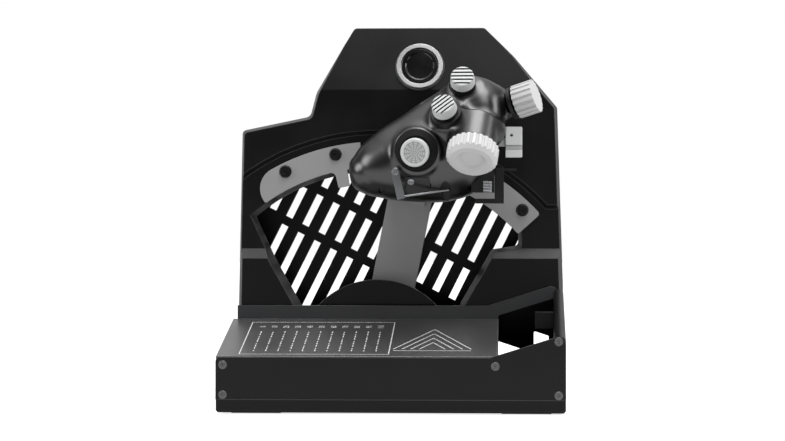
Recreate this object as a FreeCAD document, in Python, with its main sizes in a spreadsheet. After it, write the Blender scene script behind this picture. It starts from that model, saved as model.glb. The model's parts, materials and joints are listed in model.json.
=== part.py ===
import FreeCAD, Part
import math
import os
import re
import Sketcher
from FreeCAD import Placement, Rotation, Vector

# Desk-top throttle quadrant of the fighter-jet kind: a low box with a sloped top, a tall housing
# with a fan-shaped window, an arm that swings about a low pivot, and a grip full of controls.
# Frame: X to the right as the pilot sees it (aircraft forward), Y away from the pilot,
# Z up, origin at the centre of the footprint on the desk.  All lengths are in millimetres.

doc = FreeCAD.newDocument("ThrottleQuadrant")
sheet = doc.addObject("Spreadsheet::Sheet", "Dimensions")

SIZES = [
    # --- footprint and low box
    ("base_width", 240.0, "width of the base"),
    ("low_depth", 110.0, "front plate to the housing's face"),
    ("housing_depth", 55.0, "housing's face to its back"),
    ("foot_height", 1.0, "rubber pads under the base"),
    ("foot_length", 34.0, "pad length"),
    ("foot_width", 12.0, "pad width"),
    ("foot_inset", 10.0, "pads from the base's edge"),
    ("slab_height", 8.9, "thickness of the base slab"),
    ("slab_chamfer", 1.4, "chamfer under the slab"),
    ("slab_corner", 2.0, "rounding of the slab's corners"),
    ("mount_hole_radius", 3.25, "M6 clearance hole in the slab"),
    ("mount_hole_spacing_x", 160.0, "between mounting holes across"),
    ("mount_hole_spacing_y", 100.0, "between mounting holes front to back"),
    ("plate_thickness", 3.0, "front plate, rear plate and plinth"),
    ("front_height", 38.9, "top of the front plate on the left"),
    ("ramp_start", 68.0, "where the front plate's top begins to rise"),
    ("ramp_angle", 17.4, "rise of the ramp"),
    ("front_corner", 3.0, "rounding of the front plate's left corner"),
    ("ramp_corner", 5.5, "rounding of the front plate's right corner"),
    ("top_rise", 22.8, "how much the top plate climbs to the housing"),
    ("top_plate_thickness", 2.5, "top plate"),
    ("top_plate_right", 73.0, "right edge of the top plate"),
    ("left_wall_thickness", 4.0, "left end wall"),
    ("right_wall_thickness", 7.0, "right end wall"),
    ("right_wall_front_height", 53.2, "right end wall's top at the front"),
    ("right_wall_rear_height", 83.0, "right end wall's top at the housing"),
    ("right_wall_rounding", 3.2, "rounding along the right end wall's top"),
    ("bay_wall_thickness", 6.0, "inner wall beside the open bay"),
    ("post_width", 9.5, "corner post behind the front plate"),
    ("post_depth", 12.0, "corner post front to back"),
    ("plinth_left_inset", 3.0, "plinth strip from the base's left end"),
    ("plinth_right_inset", 3.5, "plinth strip from the base's right end"),
    ("plinth_left", "=-base_width/2+plinth_left_inset", "left end of the plinth strip"),
    ("plinth_right", "=base_width/2-plinth_right_inset", "right end of the plinth strip"),
    ("plinth_top", 70.8, "top of the plinth strip"),
    ("plinth_bend", 65.0, "where the plinth strip begins to rise"),
    ("plinth_height", 9.1, "height of the plinth strip"),
    # --- screws of the front plate
    ("screw_head_radius", 2.85, "countersunk head"),
    ("screw_head_height", 1.6, "countersunk head"),
    ("screw_shank_radius", 1.5, "M3 shank"),
    ("screw_shank_length", 9.0, "shank below the head"),
    ("screw_clearance", 0.05, "radial room round screws"),
    ("screw_recess_width", 0.7, "cross recess"),
    ("screw_recess_length", 3.2, "cross recess"),
    ("screw_recess_depth", 0.8, "cross recess"),
    ("screw_edge", 5.0, "screws from the plate's ends"),
    ("screw_low", 13.2, "height of the lower screws"),
    ("screw_high", 33.7, "height of the upper left screw"),
    ("screw_ramp_height", 33.1, "height of the screw below the ramp"),
    ("screw_ramp_offset", 1.2, "that screw from the top plate's edge"),
    ("screw_right_high", 50.0, "height of the upper right screw"),
    # --- tall housing
    ("wall_thickness", 3.0, "housing wall"),
    ("housing_top", 273.8, "top edge of the housing"),
    ("top_left", -32.5, "left end of the top edge"),
    ("top_right", 62.6, "right end of the top edge"),
    ("left_bend_x", -60.4, "foot of the left slope"),
    ("left_bend_z", 226.3, "foot of the left slope"),
    ("shoulder_x", -65.0, "inner end of the left shoulder"),
    ("shoulder_z", 208.9, "inner end of the left shoulder"),
    ("shoulder_outer_x", -115.0, "outer end of the left shoulder"),
    ("shoulder_outer_z", 198.6, "outer end of the left shoulder"),
    ("housing_left_foot", -119.0, "left edge at the bottom"),
    ("right_bend_x", 84.4, "bend in the right slope"),
    ("right_bend_z", 252.2, "bend in the right slope"),
    ("right_edge_x", 115.8, "top of the right edge"),
    ("right_edge_z", 215.0, "top of the right edge"),
    ("right_flare_z", 86.0, "height where the right edge turns upright"),
    ("housing_corner", 3.5, "rounding of the housing's corners"),
    ("edge_bevel", 3.0, "flare of the housing's sides behind its face"),
    ("edge_bevel_depth", 12.0, "length of that flare"),
    ("side_wall_thickness", 4.0, "side walls of the housing"),
    ("facet_height", 228.0, "crease below the leaning upper facet"),
    ("facet_angle", 15.0, "lean of the upper facet"),
    ("ledge_height", 105.0, "lower end of the ledge bevel"),
    ("ledge_rise", 7.0, "height of the ledge bevel"),
    ("step_depth", 3.0, "each step of relief in the face"),
    ("arc_step_radius", 165.0, "radius of the arc step round the plates"),
    ("arc_step_flat", 141.0, "height where the arc step runs out level"),
    # --- pivot, window and arc plates
    ("pivot_x", -15.3, "pivot of the arm"),
    ("pivot_z", 30.4, "pivot of the arm"),
    ("hub_cover_radius", 59.2, "round cover over the pivot"),
    ("hub_cover_thickness", 3.0, "round cover over the pivot"),
    ("window_radius", 138.5, "top arc of the window"),
    ("window_bottom", 69.8, "bottom edge of the window"),
    ("window_left_angle", 40.6, "left end of the top arc, from upright"),
    ("window_left_x", -91.9, "bend in the window's left edge"),
    ("window_left_z", 105.7, "bend in the window's left edge"),
    ("window_left_foot", -71.8, "left end of the bottom edge"),
    ("window_right_foot", 43.7, "right end of the bottom edge"),
    ("window_right_x", 67.8, "inner end of the right notch"),
    ("window_right_z", 111.4, "inner end of the right notch"),
    ("window_notch_x", 87.3, "outer end of the right notch"),
    ("window_notch_z", 114.4, "outer end of the right notch"),
    ("window_corner", 3.0, "rounding of the window's corners"),
    ("window_bevel", 3.5, "bevel round the window"),
    ("tunnel_thickness", 2.5, "rim wall behind the window"),
    ("tunnel_depth", 20.0, "depth of the rim behind the window"),
    ("arc_plate_outer", 159.7, "outer radius of the arc plates"),
    ("arc_plate_inner", 141.0, "inner radius of the left arc plate"),
    ("arc_plate_inner_right", 138.0, "inner radius of the right arc plate"),
    ("left_plate_start", -35.5, "left end of the left arc plate, degrees from upright"),
    ("left_plate_end", -4.5, "right end of the left arc plate"),
    ("right_plate_start", 16.0, "left end of the right arc plate"),
    ("right_plate_end", 48.0, "right end of the right arc plate"),
    ("left_plate_rounding", 16.0, "rounding of the left plate's outer end"),
    ("plate_corner", 2.5, "rounding of the plates' other corners"),
    ("tooth_start", -12.7, "detent tooth of the left plate"),
    ("tooth_end", -9.0, "detent tooth of the left plate"),
    ("tooth_reach", 9.5, "how far the tooth reaches into the window"),
    ("tooth_radius", "=window_radius-tooth_reach", "inner end of the tooth"),
    ("plate_screw_radius", 4.6, "button heads on the arc plates"),
    ("plate_screw_height", 2.2, "button heads on the arc plates"),
    ("plate_screw_shank", 2.0, "M4 shank"),
    # --- rear plate
    ("slot_width", 5.4, "slot in the rear plate"),
    ("slot_length", 25.1, "slot in the rear plate"),
    ("slot_gap", 6.7, "between slots end to end"),
    ("slot_pitch", 13.65, "between rows of slots"),
    ("slot_tilt", 26.6, "slots from upright"),
    ("slot_start_x", -61.0, "top end of the reference slot"),
    ("slot_start_z", 151.4, "top end of the reference slot"),
    ("slot_long_low", 50.0, "longer slots along the bottom left"),
    ("slot_long_high", 45.0, "longer slots at the upper right"),
    ("rear_screw_radius", 2.75, "pan heads of the rear plate"),
    ("rear_screw_height", 2.0, "pan heads of the rear plate"),
    ("rear_screw_inset", 7.0, "rear screws from the outline"),
    ("rear_boss_radius", 4.5, "screw bosses inside the housing"),
    # --- arm and its bearings
    ("rest_angle", 11.0, "arm at rest, forward of upright"),
    ("arm_width", 32.0, "flat arm"),
    ("arm_thickness", 8.0, "flat arm"),
    ("arm_setback", 22.0, "arm behind the housing's face"),
    ("arm_reach", 133.0, "arm's end from the pivot"),
    ("hub_radius", 17.0, "hub of the arm"),
    ("hub_length", 20.0, "hub of the arm"),
    ("shaft_radius", 6.0, "pivot shaft"),
    ("shaft_clearance", 0.03, "running room in the bearings"),
    ("bearing_radius", 10.5, "outside of the bearings"),
    ("bearing_width", 5.0, "bearings"),
    ("bracket_width", 34.0, "bearing brackets"),
    ("bracket_height", 46.0, "top of the bearing brackets"),
    ("bracket_front", 7.0, "front bracket behind the housing's face"),
    ("bracket_gap", 0.5, "rear bracket behind the hub"),
    ("friction_thickness", 2.2, "friction washer in front of the hub"),
    ("running_gap", 0.3, "gap between parts that move past each other"),
    ("magnet_radius", 3.0, "sensor magnet on the shaft's end"),
    ("magnet_length", 2.0, "sensor magnet on the shaft's end"),
    ("sensor_gap", 0.6, "magnet to sensor board"),
    ("board_thickness", 1.6, "circuit boards"),
    ("neck_gap", 1.5, "neck inside the tooth"),
    ("neck_height", 10.0, "neck, along the arm"),
    ("neck_radius", "=tooth_radius-neck_gap-neck_height/2", "middle of the neck from the pivot"),
    ("neck_width", 24.0, "neck, across the arm"),
    ("neck_depth", 14.0, "neck's mounting face before the housing's face"),
    ("neck_plate", 10.0, "thickness of the neck's upright part"),
    ("neck_top", 152.0, "end of the neck's upright part from the pivot"),
    # --- push-button on the upper facet
    ("button_x", 15.6, "push-button"),
    ("button_z", 244.8, "push-button"),
    ("bezel_radius", 18.0, "bezel"),
    ("bezel_height", 3.2, "bezel above the facet"),
    ("bezel_opening", 13.9, "opening of the bezel"),
    ("barrel_radius", 15.0, "threaded barrel behind the facet"),
    ("barrel_length", 20.0, "threaded barrel behind the facet"),
    ("cap_radius", 13.0, "button cap"),
    ("cap_recess", 0.6, "cap's rim below the bezel"),
    ("cap_length", 9.0, "button cap"),
    ("cap_dish_radius", 10.6, "dished middle of the cap"),
    ("cap_dish_depth", 0.8, "dished middle of the cap"),
    ("button_travel", 2.5, "push-button's stroke"),
    ("nut_radius", 17.0, "ring nut behind the facet"),
    ("nut_height", 4.0, "ring nut behind the facet"),
    # --- inner pieces of the low box
    ("ballast_inset", 6.0, "ballast block from the left end wall"),
    ("ballast_setback", 12.0, "ballast block before the housing's face"),
    ("ballast_length", 62.0, "steel ballast block"),
    ("ballast_width", 46.0, "steel ballast block"),
    ("ballast_height", 14.0, "steel ballast block"),
    ("board_gap", 8.0, "circuit board from the ballast block"),
    ("board_front", 24.0, "circuit board behind the front plate's face"),
    ("main_board_length", 84.0, "main circuit board"),
    ("main_board_width", 56.0, "main circuit board"),
    ("standoff_height", 5.0, "posts under the main board"),
    ("standoff_radius", 3.0, "posts under the main board"),
    ("socket_width", 13.6, "connector block in the bay"),
    ("socket_depth", 16.0, "connector block in the bay"),
    ("socket_height", 12.0, "connector block in the bay"),
    ("socket_z", 61.0, "connector block in the bay"),
    ("vent_left_x", 66.0, "rear openings low on the right"),
    ("vent_left_width", 27.0, "first rear opening"),
    ("vent_left_z", 44.4, "first rear opening's upper left corner"),
    ("vent_right_x", 99.0, "second rear opening"),
    ("vent_right_width", 11.0, "second rear opening"),
    ("vent_right_z", 50.0, "second rear opening's upper left corner"),
    ("vent_drop", 0.33, "slope of the rear openings' upper edges"),
    ("vent_bottom", 26.0, "lower edge of the rear openings"),
    # --- grip, from its origin on the arm's line
    ("grip_radius", 140.0, "grip's origin from the pivot"),
    ("grip_axis_angle", 31.0, "long axis of the grip above level"),
    ("grip_middle_x", 12.0, "middle of the long axis"),
    ("grip_middle_z", 20.0, "middle of the long axis"),
    ("grip_middle_depth", 42.0, "parting plane before the housing's face"),
    ("grip_wall", 2.6, "wall of the grip's shells"),
    # stations along the long axis: place, height above and below the axis, half depth
    ("grip_at_0", -61.5, "palm end"), ("grip_up_0", 4.5, "palm end"),
    ("grip_down_0", 1.5, "palm end"), ("grip_half_0", 4.5, "palm end"),
    ("grip_at_1", -58.0, "second station"), ("grip_up_1", 12.5, "second station"),
    ("grip_down_1", 7.0, "second station"), ("grip_half_1", 13.0, "second station"),
    ("grip_at_2", -48.0, "third station"), ("grip_up_2", 20.0, "third station"),
    ("grip_down_2", 17.0, "third station"), ("grip_half_2", 21.0, "third station"),
    ("grip_at_3", -30.0, "palm swell"), ("grip_up_3", 24.8, "palm swell"),
    ("grip_down_3", 31.0, "palm swell"), ("grip_half_3", 27.0, "palm swell"),
    ("grip_at_4", -8.0, "over the mini-stick"), ("grip_up_4", 26.0, "over the mini-stick"),
    ("grip_down_4", 43.5, "over the mini-stick"), ("grip_half_4", 30.0, "over the mini-stick"),
    ("grip_at_5", 16.0, "over the large knob"), ("grip_up_5", 27.0, "over the large knob"),
    ("grip_down_5", 46.5, "over the large knob"), ("grip_half_5", 30.0, "over the large knob"),
    ("grip_at_6", 40.0, "below the upper hat"), ("grip_up_6", 26.0, "below the upper hat"),
    ("grip_down_6", 30.0, "below the upper hat"), ("grip_half_6", 27.0, "below the upper hat"),
    ("grip_at_7", 58.0, "forward end"), ("grip_up_7", 17.0, "forward end"),
    ("grip_down_7", 11.0, "forward end"), ("grip_half_7", 19.0, "forward end"),
    ("grip_at_8", 65.0, "forward tip"), ("grip_up_8", 8.0, "forward tip"),
    ("grip_down_8", 2.0, "forward tip"), ("grip_half_8", 9.0, "forward tip"),
    # --- controls on the grip: place from the grip's origin, depth before the housing's face
    ("stick_x", 5.1, "mini-stick"), ("stick_z", 13.1, "mini-stick"), ("stick_depth", 74.0, "mini-stick"),
    ("stick_boss_radius", 16.0, "boss under the mini-stick"),
    ("stick_bore", 8.0, "bore for the mini-stick's gimbal"),
    ("boot_radius", 15.4, "rubber boot of the mini-stick"),
    ("boot_height", 3.0, "rubber boot of the mini-stick"),
    ("boot_opening", 7.0, "opening of the boot"),
    ("gimbal_depth", 4.0, "gimbal below the mini-stick's seat"),
    ("gimbal_radius", 6.8, "gimbal ring"),
    ("gimbal_bore", 4.5, "gimbal ring"),
    ("gimbal_height", 3.0, "gimbal ring"),
    ("gimbal_pin", 0.8, "gimbal pins"),
    ("pin_clearance", 0.06, "radial room round small pins"),
    ("stem_radius", 3.6, "mini-stick's stem"),
    ("stick_cap_radius", 10.0, "mini-stick's cap"),
    ("stick_cap_height", 4.2, "mini-stick's cap"),
    ("stick_cap_gap", 6.0, "cap above the seat"),
    ("hat_radius", 8.8, "ribbed hats"),
    ("hat_height", 7.5, "ribbed hats"),
    ("hat_gap", 6.4, "hat above its seat"),
    ("hat_stem", 2.5, "stem of a hat"),
    ("hat_pin_depth", 5.0, "hinge pin below the seat"),
    ("hat_pin", 1.0, "hinge pin"),
    ("hat_bore", 6.5, "bore round a hat's stem"),
    ("rib_width", 1.3, "grooves between the ribs of a hat"),
    ("rib_pitch", 2.9, "between grooves"),
    ("rib_depth", 1.4, "depth of the grooves"),
    ("collar_height", 3.5, "black collar under a hat"),
    ("upper_hat_x", 37.5, "upper hat"), ("upper_hat_z", 58.9, "upper hat"), ("upper_hat_depth", 57.0, "upper hat"),
    ("upper_collar_radius", 10.6, "collar of the upper hat"),
    ("lower_hat_x", 26.2, "lower hat"), ("lower_hat_z", 38.4, "lower hat"), ("lower_hat_depth", 70.0, "lower hat"),
    ("lower_collar_radius", 12.0, "collar of the lower hat"),
    ("lower_hat_turn", 45.0, "ribs of the lower hat above level"),
    ("range_x", 70.8, "small fluted knob"), ("range_z", 47.2, "small fluted knob"), ("range_depth", 46.0, "small fluted knob"),
    ("stalk_radius", 9.5, "stalk that carries the small knob"),
    ("stalk_length", 24.0, "stalk that carries the small knob"),
    ("flange_radius", 11.4, "flange behind the small knob"),
    ("flange_height", 2.6, "flange behind the small knob"),
    ("range_radius", 12.0, "small fluted knob"),
    ("range_length", 15.0, "small fluted knob"),
    ("range_push", 1.2, "stroke of the small knob"),
    ("spindle_radius", 3.0, "spindles of the knobs"),
    ("spindle_clearance", 0.05, "radial room round the spindles"),
    ("flute_radius", 1.3, "flutes of the small knob"),
    ("large_x", 44.9, "large knob's back"), ("large_z", 14.7, "large knob's back"), ("large_depth", 79.4, "large knob's back"),
    ("large_radius", 18.0, "large knob"),
    ("large_height", 12.0, "large knob"),
    ("large_dish_radius", 11.0, "dish in the large knob's face"),
    ("large_dish_depth", 3.0, "dish in the large knob's face"),
    ("large_boss_radius", 15.5, "boss under the large knob"),
    ("large_boss_length", 22.0, "boss under the large knob"),
    ("large_flute_radius", 1.3, "flutes of the large knob"),
    ("rocker_x", 67.1, "inner face of the square switch"), ("rocker_z", 20.0, "square switch"),
    ("rocker_depth", 49.0, "square switch"),
    ("rocker_length", 11.7, "square switch"),
    ("rocker_width", 13.0, "square switch"),
    ("rocker_height", 21.4, "square switch"),
    ("rocker_stem", 6.0, "stem of the square switch"),
    ("rocker_gap", 2.0, "square switch from its base"),
    ("rocker_base_height", 15.0, "base of the square switch"),
    ("rocker_base_length", 14.0, "base of the square switch"),
    ("lever_x", -9.6, "paddle lever's pivot"), ("lever_z", -1.2, "paddle lever's pivot"),
    ("lever_depth", 75.0, "paddle lever's pivot"),
    ("lever_length", 19.4, "paddle lever"),
    ("lever_width", 5.4, "paddle lever"),
    ("lever_thickness", 2.4, "paddle lever"),
    ("lever_lean", 12.0, "paddle lever from upright"),
    ("rod_radius", 0.9, "wire rod"),
    ("rod_length", 32.0, "wire rod"),
    ("slot_hole_width", 7.6, "oval hole of the wire rod"),
    ("slot_hole_height", 13.2, "oval hole of the wire rod"),
    ("slot_hole_x", 25.2, "oval hole of the wire rod"), ("slot_hole_z", -14.6, "oval hole of the wire rod"),
    ("latch_x", 43.0, "latch bracket"), ("latch_z", -15.5, "latch bracket"),
    ("latch_width", 16.0, "latch bracket"), ("latch_height", 27.5, "latch bracket"),
    ("latch_depth", 58.0, "front of the latch bracket"), ("latch_thickness", 22.0, "latch bracket"),
    ("clip_length", 6.0, "clip on the latch bracket"), ("clip_height", 8.0, "clip on the latch bracket"),
    ("clip_thickness", 2.2, "clip on the latch bracket"), ("clip_inset", 8.4, "clip from the bracket's left end"),
    ("clip_notch", 0.8, "notches across the clip"),
    ("slide_width", 6.5, "slider of the finger lift"), ("slide_thickness", 6.0, "slider of the finger lift"),
    ("slide_height", 22.0, "slider of the finger lift"),
    ("pad_length", 20.0, "finger pad"), ("pad_thickness", 3.4, "finger pad"),
    ("lift_travel", 4.0, "stroke of the finger lift"), ("lift_pin_length", 10.0, "pin of the finger lift"),
    ("lift_pin_drop", 1.5, "pin below the slider's top"),
    ("rocker_groove", 3.4, "groove across the square switch"),
    ("rocker_groove_low", 5.2, "groove above the switch's lower end"),
    ("rocker_groove_depth", 1.2, "groove across the square switch"),
    ("rocker_hole", 1.0, "small hole in the square switch"),
    ("rocker_hole_x", 4.2, "small hole from the inner edge"),
    ("rocker_hole_drop", 6.0, "small hole below the switch's top"),
    ("rocker_hole_depth", 1.5, "small hole in the square switch"),
    ("lever_plate_x", 5.8, "plate beside the lever"), ("lever_plate_z", -10.4, "plate beside the lever"),
    ("lever_plate_depth", 64.9, "plate beside the lever"),
    ("lever_plate_length", 17.0, "plate beside the lever"),
    ("lever_plate_height", 14.0, "plate beside the lever"),
    ("lever_plate_sunk", 2.4, "plate below the shell's face"),
    ("lever_plate_proud", 0.9, "plate above the shell's face"),
    ("lever_plate_corner", 2.0, "rounding of the plate's corners"),
    ("lever_screw_radius", 2.4, "screw of the lever's plate"),
    ("lever_screw_height", 1.2, "screw of the lever's plate"),
    ("lever_screw_slot", 0.6, "slot of that screw"),
    ("lever_screw_edge", 3.6, "that screw from the plate's corner"),
    ("pocket_clearance", 0.05, "room round pieces let into the shell"),
]

doc.recompute()
for row, (name, value, note) in enumerate(SIZES, 1):
    sheet.set("A%d" % row, name)
    sheet.set("B%d" % row, str(value))
    sheet.setAlias("B%d" % row, name)
    sheet.set("C%d" % row, note)
doc.recompute()


class Reader:
    """Gives each size of the sheet as a plain number."""

    def __getattr__(self, name):
        return float(getattr(sheet, name))


v = Reader()
NAMES = sorted((row[0] for row in SIZES), key=len, reverse=True)


def tied(text):
    """An expression with every size name pointed at the sheet."""
    return re.sub(r"[a-z][a-z_0-9]*", lambda m: "Dimensions." + m.group(0) if m.group(0) in NAMES
                  else m.group(0), text)
print("ok")

# --- places worked out from the sizes
depth = v.low_depth + v.housing_depth
front_y = -depth / 2
wall_y = front_y + v.low_depth
back_y = depth / 2
half_width = v.base_width / 2
base_top = v.foot_height + v.slab_height
slope = v.top_rise / v.low_depth
ramp_slope = math.tan(math.radians(v.ramp_angle))
pivot = Vector(v.pivot_x, 0, v.pivot_z)
X_WAY = Vector(1, 0, 0)
Y_WAY = Vector(0, 1, 0)
Z_WAY = Vector(0, 0, 1)

NODES = {}


def keep(node, thing):
    """Name the finished object of one node."""
    thing.Label = node
    NODES[node] = thing
    return thing


def origin_plane(body, role):
    """One of the body's own origin planes."""
    return [part for part in body.Origin.OriginFeatures if part.Role == role][0]


def sketch_polygon(body, name, plane, corners):
    """A closed polygon on an origin plane; each corner is a pair of expressions."""
    sketch = body.newObject("Sketcher::SketchObject", name)
    sketch.AttachmentSupport = [(origin_plane(body, plane), "")]
    sketch.MapMode = "FlatFace"
    count = len(corners)
    spots = [Vector(90 * math.cos(2 * math.pi * i / count), 90 * math.sin(2 * math.pi * i / count), 0)
             for i in range(count)]
    for i in range(count):
        sketch.addGeometry(Part.LineSegment(spots[i], spots[(i + 1) % count]))
    for i in range(count):
        sketch.addConstraint(Sketcher.Constraint("Coincident", i, 2, (i + 1) % count, 1))
    for i, pair in enumerate(corners):
        for kind, text, number in (("DistanceX", pair[0], spots[i].x), ("DistanceY", pair[1], spots[i].y)):
            at = sketch.addConstraint(Sketcher.Constraint(kind, -1, 1, i, 1, number))
            sketch.setExpression("Constraints[%d]" % at, tied(text))
    return sketch


def padded(node, plane, corners, length, base=None, along="y"):
    """A PartDesign body: a polygon padded along the plane's axis from the base upwards."""
    body = doc.addObject("PartDesign::Body", node)
    sketch = sketch_polygon(body, node + "_outline", plane, corners)
    pad = body.newObject("PartDesign::Pad", node + "_pad")
    pad.Profile = sketch
    pad.setExpression("Length", tied(length))
    pad.Reversed = plane == "XZ_Plane"
    if base is not None:
        body.setExpression("Placement.Base." + along, tied(base))
    doc.recompute()
    return body


def softened(body, kind, size, pick):
    """A fillet or chamfer on the edges that pick chooses."""
    doc.recompute()
    last = body.Tip
    names = ["Edge%d" % (i + 1) for i, edge in enumerate(last.Shape.Edges) if pick(edge)]
    feature = body.newObject("PartDesign::" + kind, body.Name + "_" + kind.lower())
    feature.Base = (last, names)
    feature.setExpression("Radius" if kind == "Fillet" else "Size", tied(size))
    doc.recompute()
    return feature


def runs_along(edge, axis):
    """True for a straight edge parallel to the axis."""
    if edge.Curve.TypeId != "Part::GeomLine":
        return False
    way = edge.Vertexes[-1].Point - edge.Vertexes[0].Point
    return way.Length > 1e-6 and abs(way.normalize().dot(axis)) > 0.999


def cylinder(name, radius, height, at, way=Z_WAY):
    """A Part cylinder with bound sizes, its base centre and direction given."""
    thing = doc.addObject("Part::Cylinder", name)
    thing.setExpression("Radius", tied(radius))
    thing.setExpression("Height", tied(height))
    thing.Placement = Placement(at, Rotation(Z_WAY, way))
    return thing


def cone(name, radius, far_radius, height, at, way=Z_WAY):
    """A Part cone with bound sizes."""
    thing = doc.addObject("Part::Cone", name)
    thing.setExpression("Radius1", tied(radius))
    thing.setExpression("Radius2", tied(far_radius))
    thing.setExpression("Height", tied(height))
    thing.Placement = Placement(at, Rotation(Z_WAY, way))
    return thing


def block(name, length, width, height, corner, turn=None):
    """A Part box with bound sizes and its low corner given."""
    thing = doc.addObject("Part::Box", name)
    thing.setExpression("Length", tied(length))
    thing.setExpression("Width", tied(width))
    thing.setExpression("Height", tied(height))
    thing.Placement = Placement(corner, turn or Rotation())
    return thing


def joined(name, parts):
    """Fused primitives."""
    thing = doc.addObject("Part::MultiFuse", name)
    thing.Shapes = parts
    return thing


def without(name, base, tools):
    """Base cut by the tools."""
    tool = tools[0]
    if len(tools) > 1:
        tool = joined(name + "_tools", tools)
    thing = doc.addObject("Part::Cut", name)
    thing.Base = base
    thing.Tool = tool
    return thing


def grouped(name, parts):
    """Separate solids kept side by side in one node."""
    thing = doc.addObject("Part::Compound", name)
    thing.Links = parts
    return thing


def shaped(name, shape):
    """A feature whose shape comes from Part's own functions."""
    thing = doc.addObject("Part::Feature", name)
    thing.Shape = shape
    return thing


def at_xz(x, y, z):
    return Vector(x, y, z)


def rounded(corners, radii, y):
    """A closed wire in an upright plane, each corner rounded by a tangent arc."""
    spots = [Vector(x, y, z) for x, z in corners]
    count = len(spots)
    ends = []
    for i, spot in enumerate(spots):
        if radii[i] <= 0:
            ends.append((spot, spot, None))
            continue
        back = spots[i - 1] - spot
        ahead = spots[(i + 1) % count] - spot
        half = back.getAngle(ahead) / 2
        reach = min(radii[i] / math.tan(half), 0.45 * min(back.Length, ahead.Length))
        radius = reach * math.tan(half)
        back.normalize()
        ahead.normalize()
        middle = back + ahead
        middle.normalize()
        centre = spot + middle * (radius / math.sin(half))
        ends.append((spot + back * reach, spot + ahead * reach, centre - middle * radius))
    edges = []
    for i in range(count):
        first, second, top = ends[i]
        if top is not None:
            edges.append(Part.Arc(first, top, second).toShape())
        start = ends[(i + 1) % count][0]
        edges.append(Part.LineSegment(second, start).toShape())
    return Part.Wire(edges)


def grown(corners, distance):
    """The polygon with each side moved outwards; corners run anticlockwise."""
    count = len(corners)
    result = []
    for i in range(count):
        x0, z0 = corners[i - 1]
        x1, z1 = corners[i]
        x2, z2 = corners[(i + 1) % count]
        a = Vector(z1 - z0, 0, x0 - x1)
        b = Vector(z2 - z1, 0, x1 - x2)
        a.normalize()
        b.normalize()
        shift = (a + b) * (distance / (1 + a.dot(b)))
        result.append((x1 + shift.x, z1 + shift.z))
    return result


def frustum(near, y0, far, y1):
    """A solid with flat sides between two polygons of the same corner count."""
    first = [Vector(x, y0, z) for x, z in near]
    last = [Vector(x, y1, z) for x, z in far]
    faces = [Part.Face(Part.makePolygon(first + first[:1])), Part.Face(Part.makePolygon(last + last[:1]))]
    for i in range(len(first)):
        j = (i + 1) % len(first)
        faces.append(Part.Face(Part.makePolygon([first[i], first[j], last[j], last[i], first[i]])))
    solid = Part.Solid(Part.Shell(faces))
    if solid.Volume < 0:
        solid.reverse()
    return solid


def prism(corners, radii, y0, y1):
    """A rounded polygon extruded front to back."""
    return Part.Face(rounded(corners, radii, y0)).extrude(Vector(0, y1 - y0, 0))


def side_prism(corners, x0, x1):
    """A polygon of (y, z) corners extruded across."""
    spots = [Vector(x0, y, z) for y, z in corners]
    return Part.Face(Part.makePolygon(spots + spots[:1])).extrude(Vector(x1 - x0, 0, 0))


def rod(radius, start, way, length):
    """A plain round solid."""
    return Part.makeCylinder(radius, length, start, way)


# =====================================================================================
# Base: slab, pads, ballast
# =====================================================================================

slab = padded("base_plate", "XY_Plane",
              [("-base_width/2", "-(low_depth+housing_depth)/2"), ("base_width/2", "-(low_depth+housing_depth)/2"),
               ("base_width/2", "(low_depth+housing_depth)/2"), ("-base_width/2", "(low_depth+housing_depth)/2")],
              "slab_height", "foot_height", "z")
softened(slab, "Fillet", "slab_corner", lambda e: runs_along(e, Z_WAY))
softened(slab, "Chamfer", "slab_chamfer", lambda e: e.BoundBox.ZMax < 1e-6)
holes = slab.newObject("Sketcher::SketchObject", "mount_hole_sketch")
holes.AttachmentSupport = [(origin_plane(slab, "XY_Plane"), "")]
holes.MapMode = "FlatFace"
for i, (sx, sy) in enumerate(((-1, -1), (1, -1), (1, 1), (-1, 1))):
    holes.addGeometry(Part.Circle(Vector(sx * 70, sy * 40, 0), Z_WAY, 3))
    for kind, text, number in (("DistanceX", "%d*mount_hole_spacing_x/2" % sx, sx * 70.0),
                               ("DistanceY", "%d*mount_hole_spacing_y/2" % sy, sy * 40.0)):
        at = holes.addConstraint(Sketcher.Constraint(kind, -1, 1, i, 3, number))
        holes.setExpression("Constraints[%d]" % at, tied(text))
    at = holes.addConstraint(Sketcher.Constraint("Radius", i, 3.0))
    holes.setExpression("Constraints[%d]" % at, tied("mount_hole_radius"))
drill = slab.newObject("PartDesign::Pocket", "mount_holes")
drill.Profile = holes
drill.Type = "ThroughAll"
drill.Reversed = True
doc.recompute()
keep("base_plate", slab)

pads = []
for sx in (-1, 1):
    for sy in (-1, 1):
        cx = sx * (half_width - v.foot_inset - v.foot_length / 2)
        cy = sy * (depth / 2 - v.foot_inset - v.foot_width / 2)
        pads.append(block("foot", "foot_length", "foot_width", "foot_height",
                          Vector(cx - v.foot_length / 2, cy - v.foot_width / 2, 0)))
keep("rubber_feet", grouped("feet", pads))

ballast_left = -half_width + v.left_wall_thickness + v.ballast_inset
keep("ballast_block", block("ballast", "ballast_length", "ballast_width", "ballast_height",
                            Vector(ballast_left, wall_y - v.ballast_setback - v.ballast_width,
                                   base_top)))

# =====================================================================================
# Low box: front plate and its screws, end walls, top plate, plinth strip
# =====================================================================================

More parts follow.
